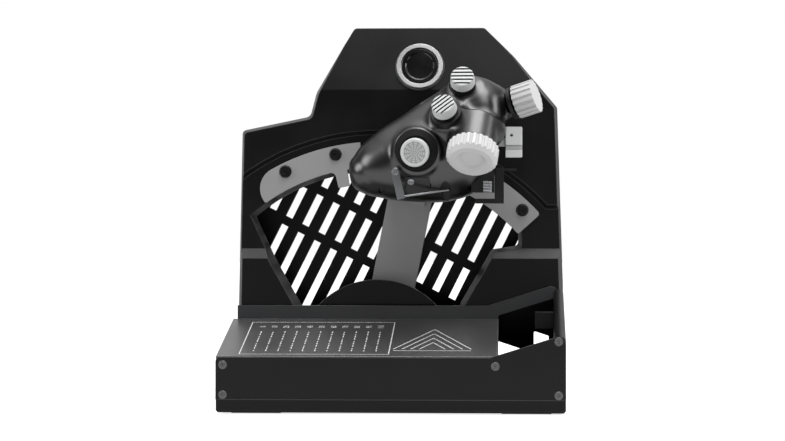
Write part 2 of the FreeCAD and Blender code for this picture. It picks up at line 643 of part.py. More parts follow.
RAMP_TOP = "front_height+(base_width/2-ramp_start)*tan(ramp_angle)"
front = padded("front_plate", "XZ_Plane",
               [("-base_width/2", "foot_height+slab_height"), ("base_width/2", "foot_height+slab_height"),
                ("base_width/2", RAMP_TOP), ("ramp_start", "front_height"), ("-base_width/2", "front_height")],
               "plate_thickness", "-(low_depth+housing_depth)/2", "y")
softened(front, "Fillet", "front_corner",
         lambda e: runs_along(e, Y_WAY) and e.BoundBox.XMin < 1 - half_width and e.BoundBox.ZMin > base_top + 1)
softened(front, "Fillet", "ramp_corner",
         lambda e: runs_along(e, Y_WAY) and e.BoundBox.XMin > half_width - 1 and e.BoundBox.ZMin > v.front_height)

screw_spots = [(-half_width + v.screw_edge, v.screw_high), (-half_width + v.screw_edge, v.screw_low),
               (v.top_plate_right - v.screw_ramp_offset, v.screw_ramp_height),
               (half_width - v.screw_edge, v.screw_right_high), (half_width - v.screw_edge, v.screw_low)]

screws = []
screw_holes = []
for x, z in screw_spots:
    spot = Vector(x, front_y, z)
    head = cone("screw_head", "screw_head_radius", "screw_shank_radius", "screw_head_height", spot, Y_WAY)
    shank = cylinder("screw_shank", "screw_shank_radius", "screw_head_height+screw_shank_length", spot, Y_WAY)
    half = v.screw_recess_length / 2
    thin = v.screw_recess_width / 2
    cross = [block("recess", "screw_recess_length", "screw_recess_depth", "screw_recess_width",
                   spot + Vector(-half, 0, -thin)),
             block("recess", "screw_recess_width", "screw_recess_depth", "screw_recess_length",
                   spot + Vector(-thin, 0, -half))]
    screws.append(without("front_screw", joined("screw_body", [head, shank]), cross))
    screw_holes.append(cone("countersink", "screw_head_radius+screw_clearance",
                            "screw_shank_radius+screw_clearance", "screw_head_height", spot, Y_WAY))
    screw_holes.append(cylinder("screw_hole", "screw_shank_radius+screw_clearance",
                                "screw_head_height+screw_shank_length+1", spot, Y_WAY))
keep("front_plate_screws", grouped("front_screws", screws))
hole_tools = joined("front_hole_tools", screw_holes)
keep("front_plate", without("front_plate_cut", front, [hole_tools]))

INNER = "-(low_depth+housing_depth)/2+plate_thickness"
TOP_AT_FRONT = "front_height+plate_thickness*top_rise/low_depth"
TOP_AT_REAR = "front_height+(low_depth-plate_thickness)*top_rise/low_depth"
REAR = "(low_depth-housing_depth)/2-plate_thickness"
keep("top_plate", padded("top_sheet", "YZ_Plane",
                         [(INNER, TOP_AT_FRONT + "-top_plate_thickness"), (REAR, TOP_AT_REAR + "-top_plate_thickness"),
                          (REAR, TOP_AT_REAR), (INNER, TOP_AT_FRONT)],
                         "base_width/2+top_plate_right", "-base_width/2", "x"))

under = [(INNER, "foot_height+slab_height"), (REAR, "foot_height+slab_height"),
         (REAR, TOP_AT_REAR + "-top_plate_thickness"), (INNER, TOP_AT_FRONT + "-top_plate_thickness")]
left_wall = padded("left_wall", "YZ_Plane", under, "left_wall_thickness", "-base_width/2", "x")
left_post = block("left_post", "post_width", "post_depth", "screw_high+3-foot_height-slab_height",
                  Vector(-half_width, front_y + v.plate_thickness, base_top))
keep("left_end_wall", without("left_end", joined("left_end_solid", [left_wall, left_post]), [hole_tools]))

bay_wall = padded("inner_wall", "YZ_Plane", under, "bay_wall_thickness", "top_plate_right-bay_wall_thickness", "x")
bay_boss = cylinder("bay_boss", "screw_shank_radius+2.6", "post_depth",
                    Vector(screw_spots[2][0], front_y + v.plate_thickness, v.screw_ramp_height), Y_WAY)
keep("bay_wall", without("bay_wall_cut", joined("bay_wall_solid", [bay_wall, bay_boss]), [hole_tools]))

right_wall = padded("right_wall", "YZ_Plane",
                    [(INNER, "foot_height+slab_height"), (REAR, "foot_height+slab_height"),
                     (REAR, "right_wall_rear_height"), (INNER, "right_wall_front_height")],
                    "right_wall_thickness", "base_width/2-right_wall_thickness", "x")
softened(right_wall, "Fillet", "right_wall_rounding",
         lambda e: e.BoundBox.ZMin > v.right_wall_front_height - 1 and e.BoundBox.YLength > 20)
keep("right_end_wall", without("right_end", right_wall, [hole_tools]))

PLINTH_LOW = "plinth_top-plinth_height"
plinth_end = v.plinth_top + (v.plinth_right - v.plinth_bend) * ramp_slope
plinth = padded("plinth", "XZ_Plane",
                [("plinth_left", PLINTH_LOW + "-top_plate_thickness-1"),
                 ("top_plate_right", PLINTH_LOW + "-top_plate_thickness-1"),
                 ("top_plate_right", PLINTH_LOW + "+(top_plate_right-plinth_bend-2)*tan(ramp_angle)"),
                 ("plinth_right", PLINTH_LOW + "+(plinth_right-plinth_bend-2)*tan(ramp_angle)"),
                 ("plinth_right", "plinth_top+(plinth_right-plinth_bend)*tan(ramp_angle)"),
                 ("plinth_bend", "plinth_top"), ("plinth_left", "plinth_top")],
                "plate_thickness", REAR, "y")
softened(plinth, "Fillet", "ramp_corner",
         lambda e: runs_along(e, Y_WAY) and e.BoundBox.XMin > v.plinth_right - 1 and e.BoundBox.ZMin > plinth_end - v.plinth_height / 2)
keep("plinth_strip", plinth)

# =====================================================================================
# Tall housing: moulded front cover with relief, window and rim
# =====================================================================================

silhouette = [(v.housing_left_foot, base_top), (half_width, base_top), (half_width, v.right_flare_z),
              (v.right_edge_x, v.right_edge_z), (v.right_bend_x, v.right_bend_z), (v.top_right, v.housing_top),
              (v.top_left, v.housing_top), (v.left_bend_x, v.left_bend_z), (v.shoulder_x, v.shoulder_z),
              (v.shoulder_outer_x, v.shoulder_outer_z)]
corner = v.housing_corner
silhouette_radii = [0, 0, 0, corner, 0, corner, corner, 12, 5, corner]
FAR = 400.0


def relief(inward):
    """What the face's relief takes away in front; inward moves it back for the inside."""
    low = wall_y + inward
    middle = low + v.step_depth
    deep = middle + v.step_depth
    ledge_top = v.ledge_height + v.ledge_rise
    lean = math.tan(math.radians(v.facet_angle))
    upper = side_prism([(-FAR, v.ledge_height), (low, v.ledge_height), (middle, ledge_top),
                        (middle, FAR), (-FAR, FAR)], -FAR, FAR)
    rise = FAR - v.facet_height
    facet = side_prism([(-FAR, v.facet_height), (middle, v.facet_height), (middle + lean * rise, FAR),
                        (-FAR, FAR)], -FAR, FAR)
    above_ledge = side_prism([(-FAR, v.ledge_height), (low, v.ledge_height), (deep, ledge_top),
                              (deep, FAR), (-FAR, FAR)], -FAR, FAR)
    run = 30.0
    disc = Part.makeCone(v.arc_step_radius + run, v.arc_step_radius, run,
                         Vector(v.pivot_x, deep - run, v.pivot_z), Y_WAY)
    level = side_prism([(-FAR, 0), (deep, 0), (deep, v.arc_step_flat), (deep - run, v.arc_step_flat + run),
                        (-FAR, v.arc_step_flat + run)], v.pivot_x, FAR)
    return [upper, facet, disc.fuse(level).common(above_ledge)]


window = [(v.window_left_foot, v.window_bottom), (v.window_right_foot, v.window_bottom),
          (v.window_right_x, v.window_right_z), (v.window_notch_x, v.window_notch_z),
          (v.window_notch_x, v.window_notch_z + 90)]
left_end = pivot + Vector(-v.window_radius * math.sin(math.radians(v.window_left_angle)), 0,
                          v.window_radius * math.cos(math.radians(v.window_left_angle)))
bend = Vector(v.window_left_x, 0, v.window_left_z)
beyond = left_end + (left_end - bend) * 2
window += [(beyond.x, v.window_notch_z + 90), (beyond.x, beyond.z), (bend.x, bend.z)]


def window_solid(extra, y0, y1):
    """The window's draughted opening between two depths, its sides moved out by extra."""
    draught = v.window_bevel / v.tunnel_depth
    grow0 = extra + draught * (wall_y + v.tunnel_depth - y0)
    grow1 = extra + draught * (wall_y + v.tunnel_depth - y1)
    sides = frustum(grown(window, grow0), y0, grown(window, grow1), y1)
    soft = [e for e in sides.Edges if abs(e.Vertexes[0].Y - e.Vertexes[-1].Y) > 1
            and e.BoundBox.XMin > v.window_right_x - 1 and e.BoundBox.ZMax < v.window_notch_z + 8]
    sides = sides.makeFillet(v.window_corner, soft)
    disc = Part.makeCone(v.window_radius + grow0, v.window_radius + grow1, y1 - y0,
                         Vector(v.pivot_x, y0, v.pivot_z), Y_WAY)
    return sides.common(disc)


inset = grown(silhouette, -v.edge_bevel)
outer = Part.makeLoft([rounded(inset, silhouette_radii, wall_y),
                       rounded(silhouette, silhouette_radii, wall_y + v.edge_bevel_depth),
                       rounded(silhouette, silhouette_radii, back_y - v.plate_thickness)], True, True)
for tool in relief(0):
    outer = outer.cut(tool)
inside = grown(silhouette, -v.side_wall_thickness)
inside[0] = (inside[0][0], base_top - 1)
inside[1] = (inside[1][0], base_top - 1)
inner = prism(inside, silhouette_radii, wall_y + v.wall_thickness, back_y)
for tool in relief(v.wall_thickness):
    inner = inner.cut(tool)
cover = outer.cut(inner)

rim = window_solid(v.tunnel_thickness, wall_y, wall_y + v.tunnel_depth).common(outer)
rim = rim.cut(Part.makeBox(2 * FAR, FAR, v.window_bottom, Vector(-FAR, wall_y, 0)))
cover = cover.fuse(rim)

lean_way = Vector(0, -math.cos(math.radians(v.facet_angle)), math.sin(math.radians(v.facet_angle)))
facet_y = wall_y + v.step_depth + math.tan(math.radians(v.facet_angle)) * (v.button_z - v.facet_height)
button_spot = Vector(v.button_x, facet_y, v.button_z)
reach = back_y - v.plate_thickness
boss_spots = [(v.housing_left_foot + v.rear_screw_inset, base_top + v.rear_screw_inset),
              (half_width - v.rear_screw_inset, base_top + v.rear_screw_inset),
              (v.shoulder_outer_x + v.rear_screw_inset, v.shoulder_outer_z - v.rear_screw_inset),
              (v.right_edge_x - v.rear_screw_inset, v.right_edge_z - v.rear_screw_inset),
              (v.top_left + v.rear_screw_inset, v.housing_top - v.rear_screw_inset),
              (v.top_right - v.rear_screw_inset, v.housing_top - v.rear_screw_inset)]
for x, z in boss_spots:
    boss = rod(v.rear_boss_radius, Vector(x, wall_y + 1, z), Y_WAY, reach - wall_y - 1).common(outer)
    cover = cover.fuse(boss)
cover = cover.cut(window_solid(0, wall_y - 1, wall_y + v.tunnel_depth + 1))
bay_top = v.plinth_top - v.plinth_height + (v.top_plate_right - v.plinth_bend - 2) * ramp_slope
bay_right = half_width - v.right_wall_thickness
bay = [(v.top_plate_right, base_top - 1), (bay_right, base_top - 1),
       (bay_right, bay_top + (bay_right - v.top_plate_right) * ramp_slope), (v.top_plate_right, bay_top)]
cover = cover.cut(prism(bay, [0, 0, 0, 0], wall_y - 1, wall_y + v.wall_thickness + 4))
cover = cover.cut(rod(v.barrel_radius + 0.1, button_spot + lean_way * 5, lean_way * -1, 40))
for x, z in boss_spots:
    cover = cover.cut(rod(v.screw_shank_radius + v.screw_clearance, Vector(x, reach - 12, z), Y_WAY, 13))

plate_y = wall_y + v.step_depth
plate_screws = [(-v.arc_plate_outer + 11.8, -26.0), (-v.arc_plate_outer + 8, -11.5)]


def on_arc(radius, degrees, y):
    """A point on a circle about the pivot, measured from upright towards +X."""
    turn = math.radians(degrees)
    return Vector(v.pivot_x + radius * math.sin(turn), y, v.pivot_z + radius * math.cos(turn))


plate_middle = (v.arc_plate_outer + v.arc_plate_inner) / 2
plate_screw_spots = [on_arc(153.5, -26.0, plate_y), on_arc(153.5, -11.5, plate_y), on_arc(152.3, 43.9, plate_y)]
for spot in plate_screw_spots:
    cover = cover.cut(rod(v.plate_screw_shank + v.screw_clearance, spot - Y_WAY, Y_WAY, 12))
keep("front_cover", shaped("cover", cover.removeSplitter()))

# --- round cover over the pivot, behind the lower part of the face
hub_disc = cylinder("hub_disc", "hub_cover_radius", "hub_cover_thickness",
                    Vector(v.pivot_x, wall_y + v.wall_thickness, v.pivot_z), Y_WAY)
hub_clip = block("hub_clip", "2*hub_cover_radius+4", "hub_cover_thickness+2", "hub_cover_radius",
                 Vector(v.pivot_x - v.hub_cover_radius - 2, wall_y + v.wall_thickness - 1,
                        base_top + v.wall_thickness - v.hub_cover_radius))
keep("hub_cover", without("hub_cover_cut", hub_disc, [hub_clip]))


# --- arc plates: ring sectors with rounded ends, a detent tooth and a bevelled inner edge
def sector(inner_radius, outer_radius, first, last, y0, y1):
    """A ring sector about the pivot, angles from upright towards +X."""
    ring = rod(outer_radius, Vector(v.pivot_x, y0, v.pivot_z), Y_WAY, y1 - y0)
    ring = ring.cut(rod(inner_radius, Vector(v.pivot_x, y0 - 1, v.pivot_z), Y_WAY, y1 - y0 + 2))
    middle = (first + last) / 2
    wide = outer_radius * 3
    a = pivot
    b = on_arc(wide, first, 0)
    c = on_arc(wide, middle, 0)
    d = on_arc(wide, last, 0)
    wedge = prism([(a.x, a.z), (d.x, d.z), (c.x, c.z), (b.x, b.z)], [0, 0, 0, 0], y0, y1)
    return ring.common(wedge)


def arc_plate(node, inner_radius, first, last, radii, tooth):
    """radii: rounding of the four corners by (outer first, inner first, inner last, outer last)."""
    y1 = plate_y + v.plate_thickness
    plate = sector(inner_radius, v.arc_plate_outer, first, last, plate_y, y1)
    if tooth:
        plate = plate.fuse(sector(v.tooth_radius, inner_radius + 2, v.tooth_start, v.tooth_end, plate_y, y1))
        plate = plate.removeSplitter()
    for place, radius in radii:
        if radius <= 0:
            continue
        edges = [e for e in plate.Edges if runs_along(e, Y_WAY)
                 and (e.Vertexes[0].Point - Vector(place.x, e.Vertexes[0].Y, place.z)).Length < 0.5]
        plate = plate.makeFillet(radius, edges)
    for spot in plate_screw_spots:
        plate = plate.cut(rod(v.plate_screw_shank + v.screw_clearance, spot - Y_WAY, Y_WAY, 12))
    return keep(node, shaped(node + "_solid", plate))


left_corners = [(on_arc(v.arc_plate_outer, v.left_plate_start, 0), v.left_plate_rounding),
                (on_arc(v.arc_plate_inner, v.left_plate_start, 0), v.plate_corner / 2),
                (on_arc(v.tooth_radius, v.tooth_start, 0), 1.0),
                (on_arc(v.tooth_radius, v.tooth_end, 0), 0.6),
                (on_arc(v.arc_plate_inner, v.tooth_start, 0), 3.5)]
arc_plate("left_arc_plate", v.arc_plate_inner, v.left_plate_start, v.left_plate_end, left_corners, True)
right_corners = [(on_arc(v.arc_plate_outer, v.right_plate_end, 0), v.plate_corner),
                 (on_arc(v.arc_plate_inner_right, v.right_plate_end, 0), v.plate_corner / 2)]
arc_plate("right_arc_plate", v.arc_plate_inner_right, v.right_plate_start, v.right_plate_end, right_corners, False)

heads = []
for spot in plate_screw_spots:
    base_spot = spot - Y_WAY * v.plate_screw_height
    head = cone("button_head", "plate_screw_radius-1.1", "plate_screw_radius", "plate_screw_height", base_spot, Y_WAY)
    shank = cylinder("button_shank", "plate_screw_shank", "9+plate_screw_height", base_spot, Y_WAY)
    socket = cylinder("hex_socket", "plate_screw_radius*0.36", "plate_screw_height*0.6", base_spot, Y_WAY)
    heads.append(without("arc_screw", joined("arc_screw_body", [head, shank]), [socket]))
keep("arc_plate_screws", grouped("arc_screws", heads))

# =====================================================================================
# Rear plate with its slanted slots, and its screws
# =====================================================================================

rear = padded("rear_panel", "XZ_Plane",
              [("housing_left_foot", "foot_height+slab_height"), ("base_width/2", "foot_height+slab_height"),
               ("base_width/2", "right_flare_z"), ("right_edge_x", "right_edge_z"), ("right_bend_x", "right_bend_z"),
               ("top_right", "housing_top"), ("top_left", "housing_top"), ("left_bend_x", "left_bend_z"),
               ("shoulder_x", "shoulder_z"), ("shoulder_outer_x", "shoulder_outer_z")],
              "plate_thickness", "(low_depth+housing_depth)/2-plate_thickness", "y")
softened(rear, "Fillet", "housing_corner",
         lambda e: runs_along(e, Y_WAY) and (e.BoundBox.ZMin > v.housing_top - 1 or
                                             abs(e.BoundBox.XMin - v.shoulder_outer_x) < 0.1 or
                                             abs(e.BoundBox.XMin - v.right_edge_x) < 0.1))


def slot_row(name, first, count, bottom, length):
    """One row of slots: first and bottom place the first slot's lower end on the slanted grid."""
    sketch = rear.newObject("Sketcher::SketchObject", name + "_sketch")
    sketch.AttachmentSupport = [(origin_plane(rear, "XZ_Plane"), "")]
    sketch.MapMode = "FlatFace"
    sketch.setExpression("AttachmentOffset.Base.x", tied("slot_start_x"))
    sketch.setExpression("AttachmentOffset.Base.y", tied("slot_start_z"))
    sketch.setExpression("AttachmentOffset.Rotation.Angle", tied("-slot_tilt"))
    spots = [Vector(-2, -3, 0), Vector(2, -3, 0), Vector(2, 3, 0), Vector(-2, 3, 0)]
    for i in range(4):
        sketch.addGeometry(Part.LineSegment(spots[i], spots[(i + 1) % 4]))
    for i in range(4):
        sketch.addConstraint(Sketcher.Constraint("Coincident", i, 2, (i + 1) % 4, 1))
    left = "%d*slot_pitch-slot_width/2" % first
    right = "%d*slot_pitch+slot_width/2" % first
    rows = [(left, bottom), (right, bottom), (right, bottom + "+" + length), (left, bottom + "+" + length)]
    for i, pair in enumerate(rows):
        for kind, text, number in (("DistanceX", pair[0], spots[i].x), ("DistanceY", pair[1], spots[i].y)):
            at = sketch.addConstraint(Sketcher.Constraint(kind, -1, 1, i, 1, number))
            sketch.setExpression("Constraints[%d]" % at, tied(text))
    cut = rear.newObject("PartDesign::Pocket", name + "_cut")
    cut.Profile = sketch
    cut.Type = "ThroughAll"
    cut.Reversed = False
    doc.recompute()
    pattern = rear.newObject("PartDesign::LinearPattern", name)
    pattern.Originals = [cut]
    pattern.Direction = (sketch, ["H_Axis"])
    pattern.setExpression("Length", tied("%d*slot_pitch" % (count - 1)))
    pattern.Occurrences = count
    rear.Tip = pattern
    doc.recompute()


slot_row("middle_slots", -2, 13, "-slot_length", "slot_length")
slot_row("upper_slots", 0, 6, "slot_gap", "slot_length")
slot_row("upper_long_slots", 6, 6, "slot_gap", "slot_long_high")
slot_row("lower_long_slots", -1, 6, "-slot_length-slot_gap-slot_long_low", "slot_long_low")


def vent(name, left, width, top):
    """A low rear opening with a slanting upper edge."""
    x0 = getattr(v, left)
    x1 = x0 + getattr(v, width)
    z1 = getattr(v, top)
    z0 = z1 - (x1 - x0) * v.vent_drop
    return prism([(x0, v.vent_bottom), (x1, v.vent_bottom), (x1, z0), (x0, z1)], [1, 1, 1, 1],
                 back_y - v.plate_thickness - 1, back_y + 1)


vents = [shaped("vent", vent("left", "vent_left_x", "vent_left_width", "vent_left_z")),
         shaped("vent", vent("right", "vent_right_x", "vent_right_width", "vent_right_z"))]
rear_screws = []
rear_holes = []
for x, z in boss_spots:
    spot = Vector(x, back_y - v.rear_screw_height, z)
    head = cylinder("pan_head", "rear_screw_radius", "rear_screw_height", spot, Y_WAY)
    shank = cylinder("pan_shank", "screw_shank_radius", "10", Vector(x, back_y - v.rear_screw_height - 10, z), Y_WAY)
    rear_screws.append(joined("rear_screw", [head, shank]))
    rear_holes.append(cylinder("rear_recess", "rear_screw_radius+screw_clearance", "rear_screw_height+1", spot, Y_WAY))
    rear_holes.append(cylinder("rear_hole", "screw_shank_radius+screw_clearance", "plate_thickness+2",
                               Vector(x, back_y - v.plate_thickness - 1, z), Y_WAY))
keep("rear_plate", without("rear_plate_cut", rear, vents + rear_holes))
keep("rear_plate_screws", grouped("rear_screw_set", rear_screws))

# =====================================================================================
# Pivot, arm and neck
# =====================================================================================

hub_front = v.bracket_front + v.bearing_width + v.friction_thickness + v.running_gap
bracket_rear = hub_front + v.hub_length + v.bracket_gap
shaft_end = bracket_rear + v.bearing_width + 1.0
board_front = shaft_end + v.magnet_length + v.sensor_gap


def at_pivot(setback):
    """A point on the pivot's axis, behind the housing's face."""
    return Vector(v.pivot_x, wall_y + setback, v.pivot_z)


def bracket(name, setback):
    """An upright plate with a seat for a bearing."""
    plate = block(name, "bracket_width", "bearing_width", "bracket_height-foot_height-slab_height",
                  Vector(v.pivot_x - v.bracket_width / 2, wall_y + setback, base_top))
    seat = cylinder(name + "_seat", "bearing_radius+0.02", "bearing_width+2", at_pivot(setback - 1), Y_WAY)
    return plate, seat


plate, seat = bracket("front_bracket", v.bracket_front)
keep("front_bearing_bracket", without("front_bracket_cut", plate, [seat]))
plate, seat = bracket("rear_bracket", bracket_rear)
lugs = []
lug_reach = board_front - bracket_rear - v.bearing_width
for side in (-1, 1):
    lugs.append(shaped("lug", rod(2.5, Vector(v.pivot_x + side * (v.bracket_width / 2 - 3.5),
                                             wall_y + bracket_rear + v.bearing_width - 1, v.bracket_height - 3),
                                 Y_WAY, lug_reach + 1)))
keep("rear_bearing_bracket", without("rear_bracket_cut", joined("rear_bracket_solid", [plate] + lugs), [seat]))

rings = []
for setback in (v.bracket_front, bracket_rear):
    ring = cylinder("bearing", "bearing_radius", "bearing_width", at_pivot(setback), Y_WAY)
    bore = cylinder("bearing_bore", "shaft_radius+shaft_clearance", "bearing_width+2", at_pivot(setback - 1), Y_WAY)
    rings.append(without("bearing_ring", ring, [bore]))
keep("pivot_bearings", grouped("bearings", rings))

washer = cylinder("washer", "hub_radius-1", "friction_thickness", at_pivot(v.bracket_front + v.bearing_width), Y_WAY)
washer_bore = cylinder("washer_bore", "shaft_radius+0.6", "friction_thickness+2",
                       at_pivot(v.bracket_front + v.bearing_width - 1), Y_WAY)
keep("friction_washer", without("friction_washer_cut", washer, [washer_bore]))

keep("pivot_shaft", shaped("shaft", rod(v.shaft_radius, at_pivot(v.bracket_front), Y_WAY, shaft_end - v.bracket_front)))
keep("sensor_magnet", cylinder("magnet", "magnet_radius", "magnet_length", at_pivot(shaft_end), Y_WAY))
keep("sensor_board", block("sensor", "bracket_width", "board_thickness", "26",
                           Vector(v.pivot_x - v.bracket_width / 2, wall_y + board_front, v.bracket_height - 26)))

swing = Rotation(Y_WAY, v.rest_angle)
along_arm = swing.multVec(Z_WAY)
across_arm = swing.multVec(X_WAY)
arm_bar = block("arm_bar", "arm_width", "arm_thickness", "arm_reach",
                at_pivot(v.arm_setback) - across_arm * (v.arm_width / 2), swing)
hub = cylinder("hub", "hub_radius", "hub_length", at_pivot(hub_front), Y_WAY)
hub_bore = cylinder("hub_bore", "shaft_radius", "hub_length+2", at_pivot(hub_front - 1), Y_WAY)
keep("throttle_arm", without("arm_cut", joined("arm_solid", [arm_bar, hub]), [hub_bore]))

neck_low = v.neck_radius - v.neck_height / 2
neck_through = block("neck_through", "neck_width", "neck_depth-neck_plate+arm_setback", "neck_height",
                     at_pivot(-v.neck_depth + v.neck_plate) - across_arm * (v.neck_width / 2) + along_arm * neck_low,
                     swing)
neck_upright = block("neck_upright", "neck_width", "neck_plate", "neck_top-neck_radius+neck_height/2",
                     at_pivot(-v.neck_depth) - across_arm * (v.neck_width / 2) + along_arm * neck_low, swing)
neck = joined("neck", [neck_through, neck_upright])

# =====================================================================================
# Push-button on the upper facet
# =====================================================================================

into = lean_way * -1
bezel_disc = cone("bezel_disc", "bezel_radius", "bezel_radius-1.2", "bezel_height", button_spot, lean_way)
barrel = cylinder("barrel", "barrel_radius", "barrel_length", button_spot, into)
opening = cylinder("bezel_bore", "bezel_opening", "bezel_height+2", button_spot - lean_way, lean_way)
barrel_bore = cylinder("barrel_bore", "cap_radius+0.08", "barrel_length+2", button_spot + lean_way, into)
keep("button_bezel", without("bezel_cut", joined("bezel_solid", [bezel_disc, barrel]), [opening, barrel_bore]))
cap_top = button_spot + lean_way * (v.bezel_height - v.cap_recess)
cap_disc = cylinder("cap_disc", "cap_radius", "cap_length", cap_top, into)
cap_dish = cone("cap_dish", "cap_dish_radius", "cap_dish_radius-cap_dish_depth", "cap_dish_depth", cap_top, into)
cap_stem = cylinder("cap_stem", "4", "6", cap_top + into * v.cap_length, into)
keep("push_button", without("cap_cut", joined("cap_solid", [cap_disc, cap_stem]), [cap_dish]))
nut = cylinder("nut", "nut_radius", "nut_height", button_spot + into * v.wall_thickness * 1.04, into)
nut_bore = cylinder("nut_bore", "barrel_radius+0.05", "nut_height+2", button_spot + into * (v.wall_thickness - 1), into)
keep("button_nut", without("nut_cut", nut, [nut_bore]))
switch_depth = v.barrel_length
switch = cylinder("switch", "barrel_radius-0.5", "8", button_spot + into * switch_depth, into)
keep("button_switch", switch)

# =====================================================================================
# Inner pieces of the low box
# =====================================================================================

board_corner = Vector(ballast_left + v.ballast_length + v.board_gap, front_y + v.board_front,
                      base_top + v.standoff_height)
posts = []
for sx in (0.08, 0.92):
    for sy in (0.1, 0.9):
        posts.append(cylinder("post", "standoff_radius", "standoff_height",
                              Vector(board_corner.x + sx * v.main_board_length,
                                     board_corner.y + sy * v.main_board_width, base_top)))
keep("board_standoffs", grouped("posts", posts))
keep("main_board", block("board", "main_board_length", "main_board_width", "board_thickness", board_corner))
keep("cable_socket", block("socket", "socket_width", "socket_depth", "socket_height",
                           Vector(bay_right - v.socket_width, wall_y - 14 - v.socket_depth / 2,
                                  v.socket_z - v.socket_height / 2)))

# =====================================================================================
# Grip: two hollow shells lofted along the long axis
# =====================================================================================

grip = at_pivot(0) + along_arm * v.grip_radius
grip_x = grip.x
grip_z = grip.z
axis_turn = math.radians(v.grip_axis_angle)
long_way = Vector(math.cos(axis_turn), 0, math.sin(axis_turn))
up_way = Vector(-math.sin(axis_turn), 0, math.cos(axis_turn))
grip_middle = Vector(grip_x + v.grip_middle_x, wall_y - v.grip_middle_depth, grip_z + v.grip_middle_z)
STATIONS = 9


def station(index, thinner, squeeze):
    """One oval section: a closed curve across the long axis."""
    place = getattr(v, "grip_at_%d" % index) * squeeze
    above = getattr(v, "grip_up_%d" % index) - thinner
    below = getattr(v, "grip_down_%d" % index) - thinner
    half = getattr(v, "grip_half_%d" % index) - thinner
    centre = grip_middle + long_way * place + up_way * ((above - below) / 2)
    tall = (above + below) / 2
    spots = []
    for step in range(12):
        turn = 2 * math.pi * step / 12
        spots.append(centre + up_way * (tall * math.cos(turn)) + Y_WAY * (half * math.sin(turn)))
    curve = Part.BSplineCurve()
    curve.interpolate(spots, PeriodicFlag=True)
    return Part.Wire([curve.toShape()])


grip_outer = Part.makeLoft([station(i, 0, 1.0) for i in range(STATIONS)], True, False)
grip_inner = Part.makeLoft([station(i, v.grip_wall, 0.955) for i in range(1, STATIONS - 1)], True, False)
parting = Part.makeBox(2 * FAR, FAR, 2 * FAR, Vector(-FAR, grip_middle.y - FAR, -FAR))


def from_grip(x, z, away):
    """A point by its offsets from the grip's origin and its depth before the housing."""
    return Vector(grip_x + x, wall_y - away, grip_z + z)


stick_way = Vector(-0.10, -0.985, -0.14).normalize()
upper_way = Vector(-0.05, -0.86, 0.5).normalize()
lower_way = Vector(-0.2, -0.81, 0.55).normalize()
range_way = Vector(0.92, -0.26, 0.29).normalize()
large_way = Vector(-0.12, -0.60, -0.79).normalize()
lever_plate_way = Vector(0, -0.81, -0.58).normalize()

stick_spot = from_grip(v.stick_x, v.stick_z, v.stick_depth)
upper_spot = from_grip(v.upper_hat_x, v.upper_hat_z, v.upper_hat_depth)
lower_spot = from_grip(v.lower_hat_x, v.lower_hat_z, v.lower_hat_depth)
range_spot = from_grip(v.range_x, v.range_z, v.range_depth)
large_spot = from_grip(v.large_x, v.large_z, v.large_depth)


def facing(spot, way, turn=0.0):
    """A frame whose Z points out of the grip and whose X stays as level as it can."""
    side = Z_WAY.cross(way)
    if side.Length < 1e-6:
        side = X_WAY
    side.normalize()
    up = way.cross(side)
    frame = FreeCAD.Matrix(side.x, up.x, way.x, spot.x, side.y, up.y, way.y, spot.y,
                           side.z, up.z, way.z, spot.z, 0, 0, 0, 1)
    return Placement(frame).multiply(Placement(Vector(), Rotation(Z_WAY, turn)))


def placed(shape, frame):
    """A shape drawn about the origin, moved to its frame."""
    moved = shape.copy()
    moved.Placement = frame.multiply(moved.Placement)
    return moved


stick_frame = facing(stick_spot, stick_way)
upper_frame = facing(upper_spot, upper_way)
lower_frame = facing(lower_spot, lower_way, v.lower_hat_turn)
range_frame = facing(range_spot, range_way)
large_frame = facing(large_spot, large_way)

front_shell = grip_outer.cut(grip_inner).common(parting)
rear_shell = grip_outer.cut(grip_inner).cut(parting)

bosses = [placed(rod(v.stick_boss_radius, Vector(0, 0, -13), Z_WAY, 13), stick_frame),
          placed(rod(v.upper_collar_radius - 0.4, Vector(0, 0, -13), Z_WAY, 13), upper_frame),
          placed(rod(v.lower_collar_radius - 0.4, Vector(0, 0, -13), Z_WAY, 13), lower_frame),
          placed(rod(v.large_boss_radius, Vector(0, 0, -v.large_boss_length), Z_WAY, v.large_boss_length - 0.6),
                 large_frame),
          placed(rod(v.stalk_radius, Vector(0, 0, -v.stalk_length), Z_WAY, v.stalk_length), range_frame).common(parting)]
rocker_spot = from_grip(v.rocker_x - v.rocker_gap - v.rocker_base_length, v.rocker_z - v.rocker_base_height / 2,
                        v.rocker_depth + v.rocker_width / 2)
bosses.append(Part.makeBox(v.rocker_base_length, v.rocker_width, v.rocker_base_height, rocker_spot))
for boss in bosses:
    front_shell = front_shell.fuse(boss)
rear_stalk = placed(rod(v.stalk_radius, Vector(0, 0, -v.stalk_length), Z_WAY, v.stalk_length), range_frame).cut(parting)
rear_shell = rear_shell.fuse(rear_stalk)

pad_spot = at_pivot(-v.neck_depth - 12) - across_arm * (v.neck_width / 2) + along_arm * (v.neck_top - 24)
mount_pad = Part.makeBox(v.neck_width, 12, 24)
mount_pad.Placement = Placement(pad_spot, swing)
rear_shell = rear_shell.fuse(mount_pad)
clear_of_neck = Part.makeBox(v.neck_width + 1.0, v.neck_depth + 30, v.neck_top - neck_low + 1)
clear_of_neck.Placement = Placement(at_pivot(-v.neck_depth) - across_arm * (v.neck_width / 2 + 0.5)
                                    + along_arm * (neck_low - 0.5), swing)
rear_shell = rear_shell.cut(clear_of_neck)

